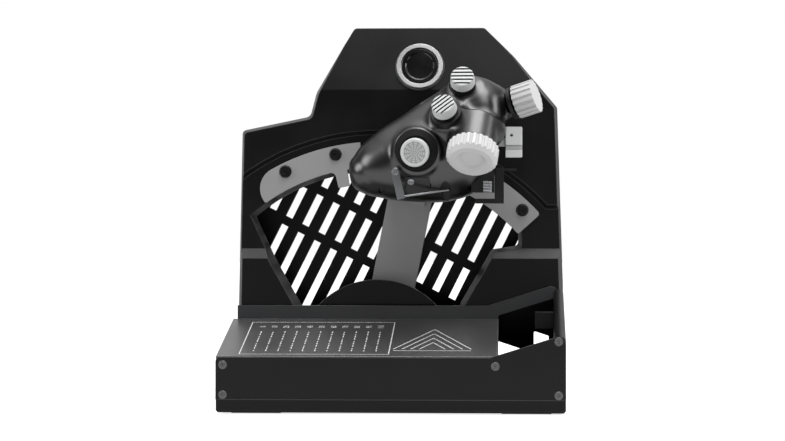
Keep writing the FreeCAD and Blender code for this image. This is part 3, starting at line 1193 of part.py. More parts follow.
room = 14.0
cuts = [placed(rod(v.upper_collar_radius + 0.4, Vector(), Z_WAY, room), upper_frame),
        placed(rod(v.lower_collar_radius + 0.4, Vector(), Z_WAY, room), lower_frame),
        placed(rod(v.boot_radius + 0.4, Vector(), Z_WAY, room), stick_frame),
        placed(rod(v.large_radius + 1.0, Vector(0, 0, -0.6), Z_WAY, room + 4), large_frame),
        placed(rod(v.stick_bore, Vector(0, 0, -16), Z_WAY, 17), stick_frame),
        placed(rod(v.gimbal_pin + v.pin_clearance, Vector(-11, 0, -v.gimbal_depth), X_WAY, 22), stick_frame),
        placed(rod(v.hat_bore, Vector(0, 0, -9), Z_WAY, 10), upper_frame),
        placed(rod(v.hat_bore, Vector(0, 0, -9), Z_WAY, 10), lower_frame),
        placed(rod(v.hat_pin, Vector(-9, 0, -v.hat_pin_depth), X_WAY, 18), upper_frame),
        placed(rod(v.hat_pin, Vector(-9, 0, -v.hat_pin_depth), X_WAY, 18), lower_frame),
        placed(rod(v.spindle_radius + v.spindle_clearance, Vector(0, 0, -15), Z_WAY, 16), large_frame),
        placed(rod(v.spindle_radius + v.spindle_clearance, Vector(0, 0, -15), Z_WAY, 16), range_frame)]
rocker_pin_spot = from_grip(v.rocker_x - v.rocker_gap - 4, v.rocker_z, v.rocker_depth)
stem_slot = Part.makeBox(11, v.rocker_stem + 1.0, v.rocker_stem + 3.6,
                         rocker_pin_spot + Vector(-4.5, -v.rocker_stem / 2 - 0.5, -v.rocker_stem / 2 - 1.8))
cuts.append(stem_slot)
cuts.append(rod(v.hat_pin, rocker_pin_spot + Vector(0, -v.rocker_width / 2 + 1, 0), Y_WAY, v.rocker_width - 2))
oval_spot = from_grip(v.slot_hole_x, v.slot_hole_z, v.lever_depth + 10)
oval_half = (v.slot_hole_height - v.slot_hole_width) / 2
oval = rod(v.slot_hole_width / 2, oval_spot + Z_WAY * oval_half, Y_WAY, v.lever_depth + 8 - v.grip_middle_depth)
oval = oval.fuse(rod(v.slot_hole_width / 2, oval_spot - Z_WAY * oval_half, Y_WAY,
                     v.lever_depth + 8 - v.grip_middle_depth))
oval = oval.fuse(Part.makeBox(v.slot_hole_width, v.lever_depth + 8 - v.grip_middle_depth, 2 * oval_half,
                              oval_spot - Vector(v.slot_hole_width / 2, 0, oval_half)))
cuts.append(oval)
lever_spot = from_grip(v.lever_x, v.lever_z, v.lever_depth)
lever_boss = rod(3.4, lever_spot + Y_WAY * (v.lever_thickness + v.running_gap), Y_WAY, 12)
front_shell = front_shell.fuse(lever_boss)
cuts.append(rod(v.hat_pin, lever_spot - Y_WAY, Y_WAY, 10))
plate_frame = facing(from_grip(v.lever_plate_x, v.lever_plate_z, v.lever_plate_depth), lever_plate_way)


def plate_slab(extra, low, high):
    """A round-cornered slab in the frame of the lever's plate, wider all round by extra."""
    length = v.lever_plate_length + 2 * extra
    height = v.lever_plate_height + 2 * extra
    slab_solid = Part.makeBox(length, height, high - low, Vector(-length / 2, -height / 2, low))
    upright = [e for e in slab_solid.Edges if e.BoundBox.ZLength > (high - low) / 2]
    return slab_solid.makeFillet(v.lever_plate_corner + extra, upright)


cuts.append(placed(plate_slab(v.pocket_clearance, -v.lever_plate_sunk, room), plate_frame))
for tool in cuts:
    front_shell = front_shell.cut(tool)
    rear_shell = rear_shell.cut(tool)
keep("grip_front_shell", shaped("front_shell", front_shell.removeSplitter()))
keep("grip_rear_shell", shaped("rear_shell", rear_shell.removeSplitter()))

# --- neck and its screws into the rear shell's pad
neck_screws = []
neck_holes = []
for reach_out in (v.neck_top - 17, v.neck_top - 6):
    spot = at_pivot(-v.neck_depth + v.neck_plate) + along_arm * reach_out
    head = cylinder("socket_head", "3.5", "3", spot - Y_WAY * 3, Y_WAY)
    shank = cylinder("socket_shank", "plate_screw_shank", "neck_plate+6", spot - Y_WAY * (v.neck_plate + 6), Y_WAY)
    neck_screws.append(joined("neck_screw", [head, shank]))
    neck_holes.append(cylinder("neck_recess", "3.55", "4", spot - Y_WAY * 3, Y_WAY))
    neck_holes.append(cylinder("neck_hole", "plate_screw_shank+screw_clearance", "neck_plate+8",
                               spot - Y_WAY * (v.neck_plate + 7), Y_WAY))
    rear_shell = rear_shell.cut(rod(v.plate_screw_shank + v.screw_clearance, spot - Y_WAY * (v.neck_plate + 7),
                                    Y_WAY, v.neck_plate + 8))
NODES["grip_rear_shell"].Shape = rear_shell.removeSplitter()
keep("grip_neck", without("neck_cut", neck, neck_holes))
keep("neck_screws", grouped("neck_screw_set", neck_screws))

# =====================================================================================
# Mini-stick with its gimbal
# =====================================================================================

boot = Part.makeCone(v.boot_radius, v.boot_radius - 4, v.boot_height)
boot = boot.cut(rod(v.boot_opening, Vector(0, 0, -1), Z_WAY, v.boot_height + 2))
keep("stick_boot", shaped("boot", placed(boot, stick_frame)))
level = -v.gimbal_depth
gimbal = rod(v.gimbal_radius, Vector(0, 0, level - v.gimbal_height / 2), Z_WAY, v.gimbal_height)
gimbal = gimbal.cut(rod(v.gimbal_bore, Vector(0, 0, level - 5), Z_WAY, 10))
for side in (-1, 1):
    gimbal = gimbal.fuse(rod(v.gimbal_pin, Vector(side * (v.gimbal_radius - 1), 0, level), X_WAY * side, 4.4))
gimbal = gimbal.cut(rod(v.gimbal_pin + v.pin_clearance, Vector(0, -9, level), Y_WAY, 18))
keep("stick_gimbal", shaped("gimbal", placed(gimbal, stick_frame)))
stick = rod(v.stem_radius, Vector(0, 0, level - 3), Z_WAY, v.gimbal_depth + 3 + v.stick_cap_gap)
stick = stick.fuse(rod(v.stick_cap_radius, Vector(0, 0, v.stick_cap_gap), Z_WAY, v.stick_cap_height))
rim_edge = [e for e in stick.Edges if abs(e.BoundBox.ZMin - v.stick_cap_gap - v.stick_cap_height) < 1e-4
            and abs(e.BoundBox.ZMax - v.stick_cap_gap - v.stick_cap_height) < 1e-4]
stick = stick.makeFillet(1.2, rim_edge)
stick = stick.fuse(rod(v.gimbal_pin, Vector(0, -v.gimbal_radius + 0.4, level), Y_WAY, 2 * v.gimbal_radius - 0.8))
keep("mini_stick", shaped("stick", placed(stick, stick_frame)))

# =====================================================================================
# Ribbed hats on hinge pins
# =====================================================================================


def hat(name, frame, collar_radius):
    """A ribbed thimble on a hinge pin, with its black collar."""
    ring = Part.makeCone(collar_radius, collar_radius - 1.4, v.collar_height)
    ring = ring.cut(rod(v.hat_bore, Vector(0, 0, -1), Z_WAY, v.collar_height + 2))
    keep(name + "_collar", shaped(name + "_ring", placed(ring, frame)))
    bottom = v.hat_gap
    top = bottom + v.hat_height
    cap = Part.makeCone(v.hat_radius, v.hat_radius - 0.8, v.hat_height, Vector(0, 0, bottom))
    cap = cap.makeFillet(1.0, [e for e in cap.Edges if abs(e.BoundBox.ZMin - top) < 1e-4])
    for step in range(-2, 3):
        middle = step * v.rib_pitch
        cap = cap.cut(Part.makeBox(4 * v.hat_radius, v.rib_width, v.rib_depth + 1,
                                   Vector(-2 * v.hat_radius, middle - v.rib_width / 2, top - v.rib_depth)))
    stem = rod(v.hat_stem, Vector(0, 0, -v.hat_pin_depth - 2), Z_WAY, v.hat_pin_depth + 2 + bottom)
    eye = rod(v.hat_stem, Vector(-2.2, 0, -v.hat_pin_depth), X_WAY, 4.4)
    cap = cap.fuse(stem).fuse(eye)
    cap = cap.cut(rod(v.hat_pin + v.pin_clearance, Vector(-9, 0, -v.hat_pin_depth), X_WAY, 18))
    keep(name, shaped(name + "_cap", placed(cap, frame)))
    pin = rod(v.hat_pin, Vector(-8.6, 0, -v.hat_pin_depth), X_WAY, 17.2)
    keep(name + "_pin", shaped(name + "_axle", placed(pin, frame)))


hat("upper_hat", upper_frame, v.upper_collar_radius)
hat("lower_hat", lower_frame, v.lower_collar_radius)

# =====================================================================================
# Knobs
# =====================================================================================


def fluted(radius, length, start, flute, count):
    """A round knob with hollow flutes along its rim."""
    knob = rod(radius, Vector(0, 0, start), Z_WAY, length)
    for step in range(count):
        turn = 2 * math.pi * step / count
        spot = Vector((radius + 0.35 * flute) * math.cos(turn), (radius + 0.35 * flute) * math.sin(turn), start - 1)
        knob = knob.cut(rod(flute, spot, Z_WAY, length + 2))
    return knob


spindle = rod(v.flange_radius, Vector(0, 0, v.running_gap), Z_WAY, v.flange_height)
spindle = spindle.fuse(rod(v.spindle_radius, Vector(0, 0, -14), Z_WAY, 14 + v.flange_height + v.range_length - 3))
keep("range_spindle", shaped("spindle", placed(spindle, range_frame)))
knob_start = v.running_gap + v.flange_height + v.range_push + v.running_gap
knob = fluted(v.range_radius, v.range_length, knob_start, v.flute_radius, 18)
knob = knob.cut(rod(v.spindle_radius + v.spindle_clearance, Vector(0, 0, 0), Z_WAY,
                    v.flange_height + v.range_length - 1.5))
keep("range_knob", shaped("small_knob", placed(knob, range_frame)))

large = fluted(v.large_radius, v.large_height, 0, v.large_flute_radius, 26)
top = v.large_height
dish = Part.makeCone(v.large_dish_radius - 3, v.large_dish_radius, v.large_dish_depth,
                     Vector(0, 0, top - v.large_dish_depth))
large = large.cut(dish)
large = large.cut(Part.makeCone(v.large_radius + 3, v.large_radius - 3, 6, Vector(0, 0, top - 3))
                  .cut(Part.makeCone(v.large_radius + 0.2, v.large_radius - 3.2, 3.4, Vector(0, 0, top - 3.2))))
large = large.fuse(rod(v.spindle_radius, Vector(0, 0, -14), Z_WAY, 15))
keep("antenna_knob", shaped("large_knob", placed(large, large_frame)))

# =====================================================================================
# Square switch, paddle lever with its wire rod, finger lift
# =====================================================================================

rocker_corner = from_grip(v.rocker_x, v.rocker_z - v.rocker_height / 2, v.rocker_depth + v.rocker_width / 2)
rocker = Part.makeBox(v.rocker_length, v.rocker_width, v.rocker_height, rocker_corner)
rocker = rocker.makeFillet(0.9, [e for e in rocker.Edges if e.BoundBox.XMin > rocker_corner.x + 0.1])
rocker = rocker.cut(Part.makeBox(v.rocker_length + 2, v.rocker_groove_depth, v.rocker_groove,
                                 rocker_corner + Vector(-1, 0, v.rocker_groove_low)))
rocker = rocker.cut(rod(v.rocker_hole, rocker_corner + Vector(v.rocker_hole_x, -1, v.rocker_height - v.rocker_hole_drop),
                        Y_WAY, v.rocker_hole_depth + 1))
stem = Part.makeBox(v.rocker_gap + 8, v.rocker_stem, v.rocker_stem,
                    rocker_pin_spot + Vector(-3, -v.rocker_stem / 2, -v.rocker_stem / 2))
rocker = rocker.fuse(stem).cut(rod(v.hat_pin + v.pin_clearance, rocker_pin_spot - Y_WAY * 9, Y_WAY, 18))
keep("comm_switch", shaped("rocker", rocker))
keep("comm_switch_pin", shaped("rocker_axle", rod(v.hat_pin, rocker_pin_spot + Vector(0, -v.rocker_width / 2 + 1.2, 0),
                                                 Y_WAY, v.rocker_width - 2.4)))

screw_at = Vector(v.lever_screw_edge - v.lever_plate_length / 2, v.lever_plate_height / 2 - v.lever_screw_edge,
                  v.lever_plate_proud - v.lever_screw_height)
lever_screw = rod(v.lever_screw_radius, screw_at, Z_WAY, v.lever_screw_height + 0.4)
lever_screw = lever_screw.cut(Part.makeBox(v.lever_screw_radius * 2 + 1, v.lever_screw_slot, v.lever_screw_height,
                                           screw_at + Vector(-v.lever_screw_radius - 0.5, -v.lever_screw_slot / 2, 0.8)))
plate = plate_slab(0, -v.lever_plate_sunk, v.lever_plate_proud)
plate = plate.cut(rod(v.lever_screw_radius + v.screw_clearance, screw_at, Z_WAY, v.lever_screw_height + 1))
keep("lever_plate", shaped("small_plate", placed(plate, plate_frame)))
keep("lever_plate_screw", shaped("small_screw", placed(lever_screw, plate_frame)))

lever_turn = Rotation(Y_WAY, -v.lever_lean)
down = lever_turn.multVec(Z_WAY) * -1
side = lever_turn.multVec(X_WAY)
lever = Part.makeBox(v.lever_width, v.lever_thickness, v.lever_length)
lever.Placement = Placement(lever_spot - side * (v.lever_width / 2) + down * v.lever_length, lever_turn)
lever = lever.fuse(rod(v.lever_width / 2, lever_spot, Y_WAY, v.lever_thickness))
lever = lever.cut(rod(v.hat_pin + v.pin_clearance, lever_spot - Y_WAY, Y_WAY, 6))
rod_start = lever_spot + down * (v.lever_length - 1.5) + Y_WAY * (v.lever_thickness / 2)
rod_end = from_grip(v.slot_hole_x, v.slot_hole_z + 0.6, v.lever_depth - 13)
rod_way = rod_end - rod_start
lever = lever.fuse(rod(v.rod_radius, rod_start, rod_way, rod_way.Length + 2))
keep("paddle_lever", shaped("lever", lever.removeSplitter()))
keep("paddle_pin", shaped("lever_axle", rod(v.hat_pin, lever_spot - Y_WAY * 0.6, Y_WAY, 9)
                          .fuse(rod(2.2, lever_spot - Y_WAY * 1.6, Y_WAY, 1.2))))

latch_spot = from_grip(v.latch_x, v.latch_z, v.latch_depth)
latch = Part.makeBox(v.latch_width, v.latch_thickness, v.latch_height, latch_spot)
latch = latch.cut(grip_outer)
latch = sorted(latch.Solids, key=lambda s: s.BoundBox.ZMin)[0]
keep("latch_bracket", shaped("latch_solid", latch))
clip_spot = latch_spot + Vector(v.clip_inset, -v.clip_thickness, 0)
clip = Part.makeBox(v.clip_length, v.clip_thickness, v.clip_height, clip_spot)
for step in range(4):
    clip = clip.cut(rod(v.clip_notch, clip_spot + Vector(-1, 0, v.clip_height * (step + 0.5) / 4), X_WAY, v.clip_length + 2))
keep("latch_clip", shaped("clip", clip))
slide_spot = latch_spot + Vector(v.latch_width + v.running_gap, (v.latch_thickness - v.slide_thickness) / 2,
                                 -v.lift_travel - v.running_gap)
slide = Part.makeBox(v.slide_width, v.slide_thickness, v.slide_height, slide_spot)
finger_pad = Part.makeBox(v.pad_length, v.slide_thickness, v.pad_thickness,
                          slide_spot + Vector(v.slide_width - v.pad_length, 0, -v.pad_thickness))
lift = slide.fuse(finger_pad)
lift = lift.fuse(rod(v.rod_radius, slide_spot + Vector(v.slide_width - 1, v.slide_thickness / 2, v.slide_height - v.lift_pin_drop),
                     X_WAY, v.lift_pin_length))
keep("finger_lift", shaped("lift", lift))

# =====================================================================================
# Checks and export
# =====================================================================================

doc.recompute()
for thing in doc.Objects:
    if "Invalid" in thing.State or "Error" in thing.State:
        raise RuntimeError("failed: " + thing.Label)
os.makedirs("parts", exist_ok=True)
for node, thing in NODES.items():
    shape = thing.Shape
    if shape.isNull() or not shape.isValid():
        raise RuntimeError("bad shape: " + node)
    if not shape.Solids:
        raise RuntimeError("no solid: " + node)
    shape.exportStep("parts/%s.step" % node)
    box = shape.BoundBox
    print("%-22s solids %2d volume %10.1f  x %7.1f %7.1f  y %7.1f %7.1f  z %7.1f %7.1f"
          % (node, len(shape.Solids), shape.Volume, box.XMin, box.XMax, box.YMin, box.YMax, box.ZMin, box.ZMax))
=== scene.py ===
# %% [markdown]
# A desk-top throttle quadrant: a low box, a tall slotted housing and a swinging arm with a grip full of
# controls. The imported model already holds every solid, so this file only gives those solids their
# finishes, and adds the pieces whose shape is too free for plain solids. Everything is in metres.

# %% Load the fixed frame
import json
import math

import bmesh
import bpy
import numpy as np
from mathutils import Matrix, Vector


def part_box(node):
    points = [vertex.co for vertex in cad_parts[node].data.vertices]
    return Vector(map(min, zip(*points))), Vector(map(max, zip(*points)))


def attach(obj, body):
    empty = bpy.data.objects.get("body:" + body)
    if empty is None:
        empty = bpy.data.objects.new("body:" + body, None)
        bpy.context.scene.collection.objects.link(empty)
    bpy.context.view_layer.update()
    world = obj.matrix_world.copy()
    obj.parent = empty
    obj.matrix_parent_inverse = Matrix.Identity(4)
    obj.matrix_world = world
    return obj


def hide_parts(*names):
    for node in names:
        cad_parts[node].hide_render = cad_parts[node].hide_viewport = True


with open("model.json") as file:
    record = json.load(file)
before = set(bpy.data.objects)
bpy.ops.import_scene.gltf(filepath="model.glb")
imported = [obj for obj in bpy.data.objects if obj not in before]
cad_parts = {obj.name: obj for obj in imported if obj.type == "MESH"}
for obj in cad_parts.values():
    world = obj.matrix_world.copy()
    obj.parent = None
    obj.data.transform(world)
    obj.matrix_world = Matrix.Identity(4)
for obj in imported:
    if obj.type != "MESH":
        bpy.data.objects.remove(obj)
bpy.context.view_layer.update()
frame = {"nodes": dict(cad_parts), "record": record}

# %% [markdown]
# Sizes below are written in millimetres, as on a drawing, and multiplied by MM. Colours are written as the
# hex values that a paint program shows, and Blender wants linear light, so one function converts them.

# %% Small helpers: units, vectors and colour
MM = 0.001


def unit(x, y, z):
    """A vector divided by its own length."""
    way = np.array([x, y, z], float)
    return way / np.linalg.norm(way)


def linear(hex_colour):
    """sRGB hex to linear RGBA: each channel c becomes ((c + 0.055) / 1.055) ** 2.4, and c / 12.92 near
    black."""
    parts = [int(hex_colour[i:i + 2], 16) / 255 for i in (1, 3, 5)]
    return [c / 12.92 if c <= 0.04045 else ((c + 0.055) / 1.055) ** 2.4 for c in parts] + [1.0]


print("a mid grey, #808080, reflects", round(linear("#808080")[0], 3), "of the light")


# %% [markdown]
# A finish is a tree of shader nodes. One function adds any node: it sets the node's own options, the
# constant values on its sockets, and the links into it. Every finish reads Object coordinates, which are
# metres on the part itself, so a grain has its real size and stays put when the part moves.

# %% One function that adds a node
def add(tree, kind, values=None, links=None, **settings):
    """A new node of that kind, with its options set, its constants filled in and its inputs linked."""
    made = tree.nodes.new(kind)
    for option, value in settings.items():
        setattr(made, option, value)
    for socket, value in (values or {}).items():
        made.inputs[socket].default_value = value
    for socket, source in (links or {}).items():
        tree.links.new(source, made.inputs[socket])
    return made


def new_finish(name):
    """An empty node material, returned with its tree and Object coordinates."""
    material = bpy.data.materials.new(name)
    material.use_nodes = True
    tree = material.node_tree
    tree.nodes.clear()
    place = add(tree, "ShaderNodeTexCoord").outputs["Object"]
    return material, tree, place


print("helpers made:", add.__name__, "and", new_finish.__name__)

# %% [markdown]
# A real coat of one colour is never one tone. Handling polishes it in broad patches. Shade in the creases
# and light along sharp edges are also painted into the colour. Each of these is a small change to the
# colour, so each is a function that takes the colour's socket and gives a new one. They can then be stacked
# freely.

# %% Tone, painted shade in creases and painted highlights on edges
# An open face has an openness near 1. The painted shade starts below 0.85, is full at 0.35, and there leaves
# 0.15 of the colour. The painted highlight on an edge starts where the rounded normal's cosine with the
# face's own drops below 0.99, and is full at 0.86, about 30 degrees.
OPEN_FULL, OPEN_UNSHADED, PAINTED_CREASE_SHADE = 0.35, 0.85, 0.15
EDGE_LIGHT_STARTS, EDGE_LIGHT_FULL = 0.99, 0.86
CREASE_RAYS, EDGE_RAYS = 8, 6


def drifting(tree, hex_colour, patch, spread):
    """The colour made darker and lighter by a share, mixed by the broad noise of the patches."""
    base = linear(hex_colour)[:3]
    mixed = add(tree, "ShaderNodeMix",
                {6: [c * (1 - spread) for c in base] + [1.0], 7: [c * (1 + spread) for c in base] + [1.0]},
                {0: patch.outputs["Fac"]}, data_type="RGBA")
    return mixed.outputs[2]


# Painted shade: the colour is darkened in creases and recesses, where real shade falls.
def crease_shade(tree, crease_mm):
    """A shade from how open the surface is within crease_mm: low in grooves, 1 on open faces."""
    open_sky = add(tree, "ShaderNodeAmbientOcclusion", {"Distance": crease_mm * MM}, samples=CREASE_RAYS)
    return add(tree, "ShaderNodeMapRange",
               {"From Min": OPEN_FULL, "From Max": OPEN_UNSHADED, "To Min": PAINTED_CREASE_SHADE},
               {"Value": open_sky.outputs["AO"]}).outputs["Result"]


def shaded(tree, colour, shade):
    """The colour multiplied by a shade."""
    darker = add(tree, "ShaderNodeVectorMath", links={0: colour, "Scale": shade}, operation="SCALE")
    return darker.outputs["Vector"]


# Painted highlight: the colour is lightened along sharp edges, where light catches them.
def highlighted_edges(tree, colour, rounded, edge_highlight_hex):
    """The colour replaced by a painted highlight's colour where the rounded normal leaves the face's own."""
    face = add(tree, "ShaderNodeNewGeometry")
    alike = add(tree, "ShaderNodeVectorMath", operation="DOT_PRODUCT",
                links={0: rounded.outputs["Normal"], 1: face.outputs["Normal"]})
    edge_light = add(tree, "ShaderNodeMapRange", {"From Min": EDGE_LIGHT_STARTS, "From Max": EDGE_LIGHT_FULL},
               {"Value": alike.outputs["Value"]})
    lit_edge = add(tree, "ShaderNodeMix", {7: linear(edge_highlight_hex)}, {0: edge_light.outputs["Result"], 6: colour},
               data_type="RGBA")
    return lit_edge.outputs[2]


print("painted shade fills creases up to an openness of", OPEN_UNSHADED)

# %% [markdown]
# Coated metal and moulded plastic look alike from afar and differ up close: both have a base colour, a
# grain of a certain size, and broad patches that handling has polished. So one recipe serves them, and the
# grain's size in millimetres, its depth, the gloss and the reflectance tell the real materials apart.

# %% Coated and moulded finishes
METRE_IN_MM = 1000.0
PATCH_LOW, PATCH_HIGH = 0.3, 0.7      # broad noise stays between these for most of a surface
BUMP_STRENGTH = 0.6


def surfaced(name, hex_colour, roughness, grain_mm, grain_depth_mm, metallic=0.0, specular=0.5,
             patch_mm=30.0, patch_gloss=0.05, patch_tone=0.12, brushed=None, crease_mm=None,
             darkness=None, edge_mm=0.45, edge_highlight_hex=None):
    """A finish with grain. Bump is noise of the grain's size; roughness and tone drift with noise of the
    patch's size. A brushed metal has its grain drawn out along one axis by the Mapping node's scale. Creases
    narrower than crease_mm get a painted shade. darkness is a function that adds a pattern's nodes and gives
    the socket that multiplies the colour. The Bevel node rounds the shading of sharp edges over edge_mm, so
    they catch a thin line of light, and the given edge colour is a painted highlight laid along those edges."""
    material, tree, place = new_finish(name)
    grain_place = place
    if brushed:
        grain_place = add(tree, "ShaderNodeMapping", {"Scale": brushed}, {"Vector": place}).outputs["Vector"]
    grain = add(tree, "ShaderNodeTexNoise",
                {"Scale": METRE_IN_MM / grain_mm, "Detail": 3.0, "Roughness": 0.6}, {"Vector": grain_place})
    patch = add(tree, "ShaderNodeTexNoise", {"Scale": METRE_IN_MM / patch_mm, "Detail": 2.0},
                {"Vector": place})
    gloss = add(tree, "ShaderNodeMapRange",
                {"From Min": PATCH_LOW, "From Max": PATCH_HIGH,
                 "To Min": roughness - patch_gloss, "To Max": roughness + patch_gloss},
                {"Value": patch.outputs["Fac"]})
    colour = drifting(tree, hex_colour, patch, patch_tone)
    # painted shade in the creases
    if crease_mm:
        colour = shaded(tree, colour, crease_shade(tree, crease_mm))
    if darkness:
        colour = shaded(tree, colour, darkness(tree, place))
    rounded = add(tree, "ShaderNodeBevel", {"Radius": edge_mm * MM}, samples=EDGE_RAYS)
    # painted highlight along the sharp edges
    if edge_highlight_hex:
        colour = highlighted_edges(tree, colour, rounded, edge_highlight_hex)
    bump = add(tree, "ShaderNodeBump", {"Strength": BUMP_STRENGTH, "Distance": grain_depth_mm * MM},
               {"Height": grain.outputs["Fac"], "Normal": rounded.outputs["Normal"]})
    shader = add(tree, "ShaderNodeBsdfPrincipled",
                 {"Metallic": metallic, "Specular IOR Level": specular},
                 {"Base Color": colour, "Roughness": gloss.outputs["Result"],
                  "Normal": bump.outputs["Normal"]})
    add(tree, "ShaderNodeOutputMaterial", links={"Surface": shader.outputs["BSDF"]})
    print("finish:", name + ",", len(tree.nodes), "nodes")
    return material


# %% [markdown]
# The mini-stick's cap has fine rings and spokes moulded into its face so that a thumb doesn't slip. They are
# too shallow to be worth geometry, so they are a pattern that darkens the colour. It is drawn round the
# stick's own axis, because a pattern on the world's axes would run off a face that is tilted.

# %% Rings and spokes on the stick's cap
STICK_WAY = (-0.10, -0.985, -0.14)            # the way the stick points
RING_PITCH_MM, SPOKES, CAP_RADIUS_MM, CAP_EDGE_MM = 1.5, 12.0, 7.6, 0.3
GROOVE_SHADE, BETWEEN_SHADE = 0.45, 0.85


def cap_rings(tree, place):
    """Rings and spokes round the stick's axis. The distance from the axis is the length of the two in-plane
    coordinates; rings are a sine of that distance, spokes a sine of the angle, and both stop at the rim."""
    low, high = (np.array(c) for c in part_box("stick_boot"))
    way = unit(*STICK_WAY)
    side = unit(*np.cross(way, (0, 0, 1)))
    rise = np.cross(side, way)
    from_axis = add(tree, "ShaderNodeVectorMath", {1: (low + high) / 2}, {0: place},
                    operation="SUBTRACT").outputs["Vector"]
    u, w = (add(tree, "ShaderNodeVectorMath", {1: in_plane}, {0: from_axis},
                operation="DOT_PRODUCT").outputs["Value"] for in_plane in (side, rise))
    flat = add(tree, "ShaderNodeCombineXYZ", links={"X": u, "Y": w}).outputs["Vector"]
    radius = add(tree, "ShaderNodeVectorMath", links={0: flat}, operation="LENGTH").outputs["Value"]
    angle = add(tree, "ShaderNodeMath", links={0: w, 1: u}, operation="ARCTAN2").outputs[0]
    ring_wave = add(tree, "ShaderNodeMath", {1: 2 * math.pi / (RING_PITCH_MM * MM)}, {0: radius},
                    operation="MULTIPLY")
    rings = add(tree, "ShaderNodeMath", links={0: ring_wave.outputs[0]}, operation="SINE").outputs[0]
    spoke_wave = add(tree, "ShaderNodeMath", {1: SPOKES}, {0: angle}, operation="MULTIPLY")
    spokes = add(tree, "ShaderNodeMath", links={0: spoke_wave.outputs[0]}, operation="SINE").outputs[0]
    both = add(tree, "ShaderNodeMath", links={0: rings, 1: spokes}, operation="MINIMUM").outputs[0]
    lines = add(tree, "ShaderNodeMapRange",
                {"From Min": -1.0, "From Max": 0.2, "To Min": GROOVE_SHADE, "To Max": BETWEEN_SHADE},
                {"Value": both}).outputs["Result"]
    rim = add(tree, "ShaderNodeMapRange",
              {"From Min": CAP_RADIUS_MM * MM, "From Max": (CAP_RADIUS_MM + CAP_EDGE_MM) * MM},
              {"Value": radius})
    plain_outside = add(tree, "ShaderNodeMix", {3: 1.0}, {0: rim.outputs["Result"], 2: lines})
    return plain_outside.outputs[0]


print("cap pattern:", int(SPOKES), "spokes, rings", RING_PITCH_MM, "mm apart")

# %% [markdown]
# Every solid names a material slot, and each slot gets one real material here. A metal's colour is its
# mirror colour, so it is set lighter than a paint that looks as dark. Grains finer than about a quarter of
# a millimetre can't be seen at this size, so where the comment says so they are drawn coarser.

# %% Finishes of the slots
FINISHES = {
    # powder coat on folded steel: fine orange peel, a low sheen, and a painted grey highlight along the
    # edges
    "black_metal": surfaced("powder_coated_steel_black", "#0f0f10", 0.42, 0.5, 0.02, specular=0.22,
                            edge_mm=0.8, edge_highlight_hex="#4c4c4c"),
    # moulded ABS with a spark-eroded texture: nearly matt, deep black, with a pale painted highlight along
    # its edges
    "black_shell": surfaced("moulded_abs_black", "#060606", 0.38, 0.4, 0.012, specular=0.2, edge_mm=1.0,
                            edge_highlight_hex="#565656"),
    # black-oxide steel of the screws: a dark mirror dulled by a fine crust, drawn coarser than real
    "black_steel": surfaced("black_oxide_steel", "#2e2e2e", 0.3, 0.3, 0.008, metallic=1.0, edge_mm=0.3),
    # moulded silicone rubber of the feet and the stick's boot: soft and dull, with hardly a highlight
    "rubber": surfaced("moulded_silicone_rubber_black", "#0c0c0c", 0.7, 0.6, 0.02, specular=0.15),
    # turned steel of pins and shafts: bright, with fine rings from the tool, drawn coarser than real
    "steel": surfaced("turned_steel", "#a7a8aa", 0.3, 0.3, 0.006, metallic=1.0, brushed=(1, 12, 1)),
    # satin paint on pressed steel: an even mid grey, the lightest large surface
    "grey_plate": surfaced("satin_painted_steel_grey", "#858585", 0.42, 0.5, 0.012, specular=0.45,
                           patch_tone=0.03),
    # satin paint on the aluminium arm: the same grey with less shine
    "grey_arm": surfaced("satin_painted_aluminium_grey", "#878787", 0.5, 0.5, 0.012, specular=0.3,
                         patch_tone=0.02),
    # moulded nylon of collars, brackets and small blocks: black with a waxy half shine
    "plastic_black": surfaced("moulded_nylon_black", "#101011", 0.45, 0.4, 0.02, specular=0.3),
    # solder mask over glass cloth: glossy green, with the cloth's weave as a ripple of about 1 mm
    "board_green": surfaced("solder_mask_green", "#1d5a36", 0.3, 1.2, 0.02, specular=0.5),
    # satin anodised aluminium: bright and silky, its blasted grain drawn coarser than real
    "satin_ring": surfaced("anodised_aluminium_satin", "#a6a6a6", 0.34, 0.25, 0.006, metallic=0.9),
    # turned brass of the standoffs: warm and bright, ringed like the steel
    "brass_post": surfaced("turned_brass", "#c2a15b", 0.3, 0.3, 0.006, metallic=1.0, brushed=(1, 1, 12)),
    # gunmetal plating on the cast grip: a dim mirror, dark where it faces the front of the studio and pale
    # where it faces the overhead lamp; the blasted grain is drawn coarser than real
    "grip_shell": surfaced("satin_gunmetal_plating", "#474747", 0.31, 0.35, 0.003, metallic=1.0,
                           patch_gloss=0.03, patch_tone=0.05),
    # moulded polycarbonate of knobs and hats: light grey, with painted shade in the creases
    "light_grey": surfaced("moulded_pc_light_grey", "#b9baba", 0.42, 0.35, 0.012, specular=0.35,
                           patch_tone=0.02, crease_mm=2.5),
    # polished acrylic of the push button: black and glossy, it mirrors the lamps sharply
    "button_black": surfaced("polished_acrylic_black", "#060607", 0.14, 0.8, 0.004, specular=0.5),
}
print("finishes made for", len(FINISHES), "slots")
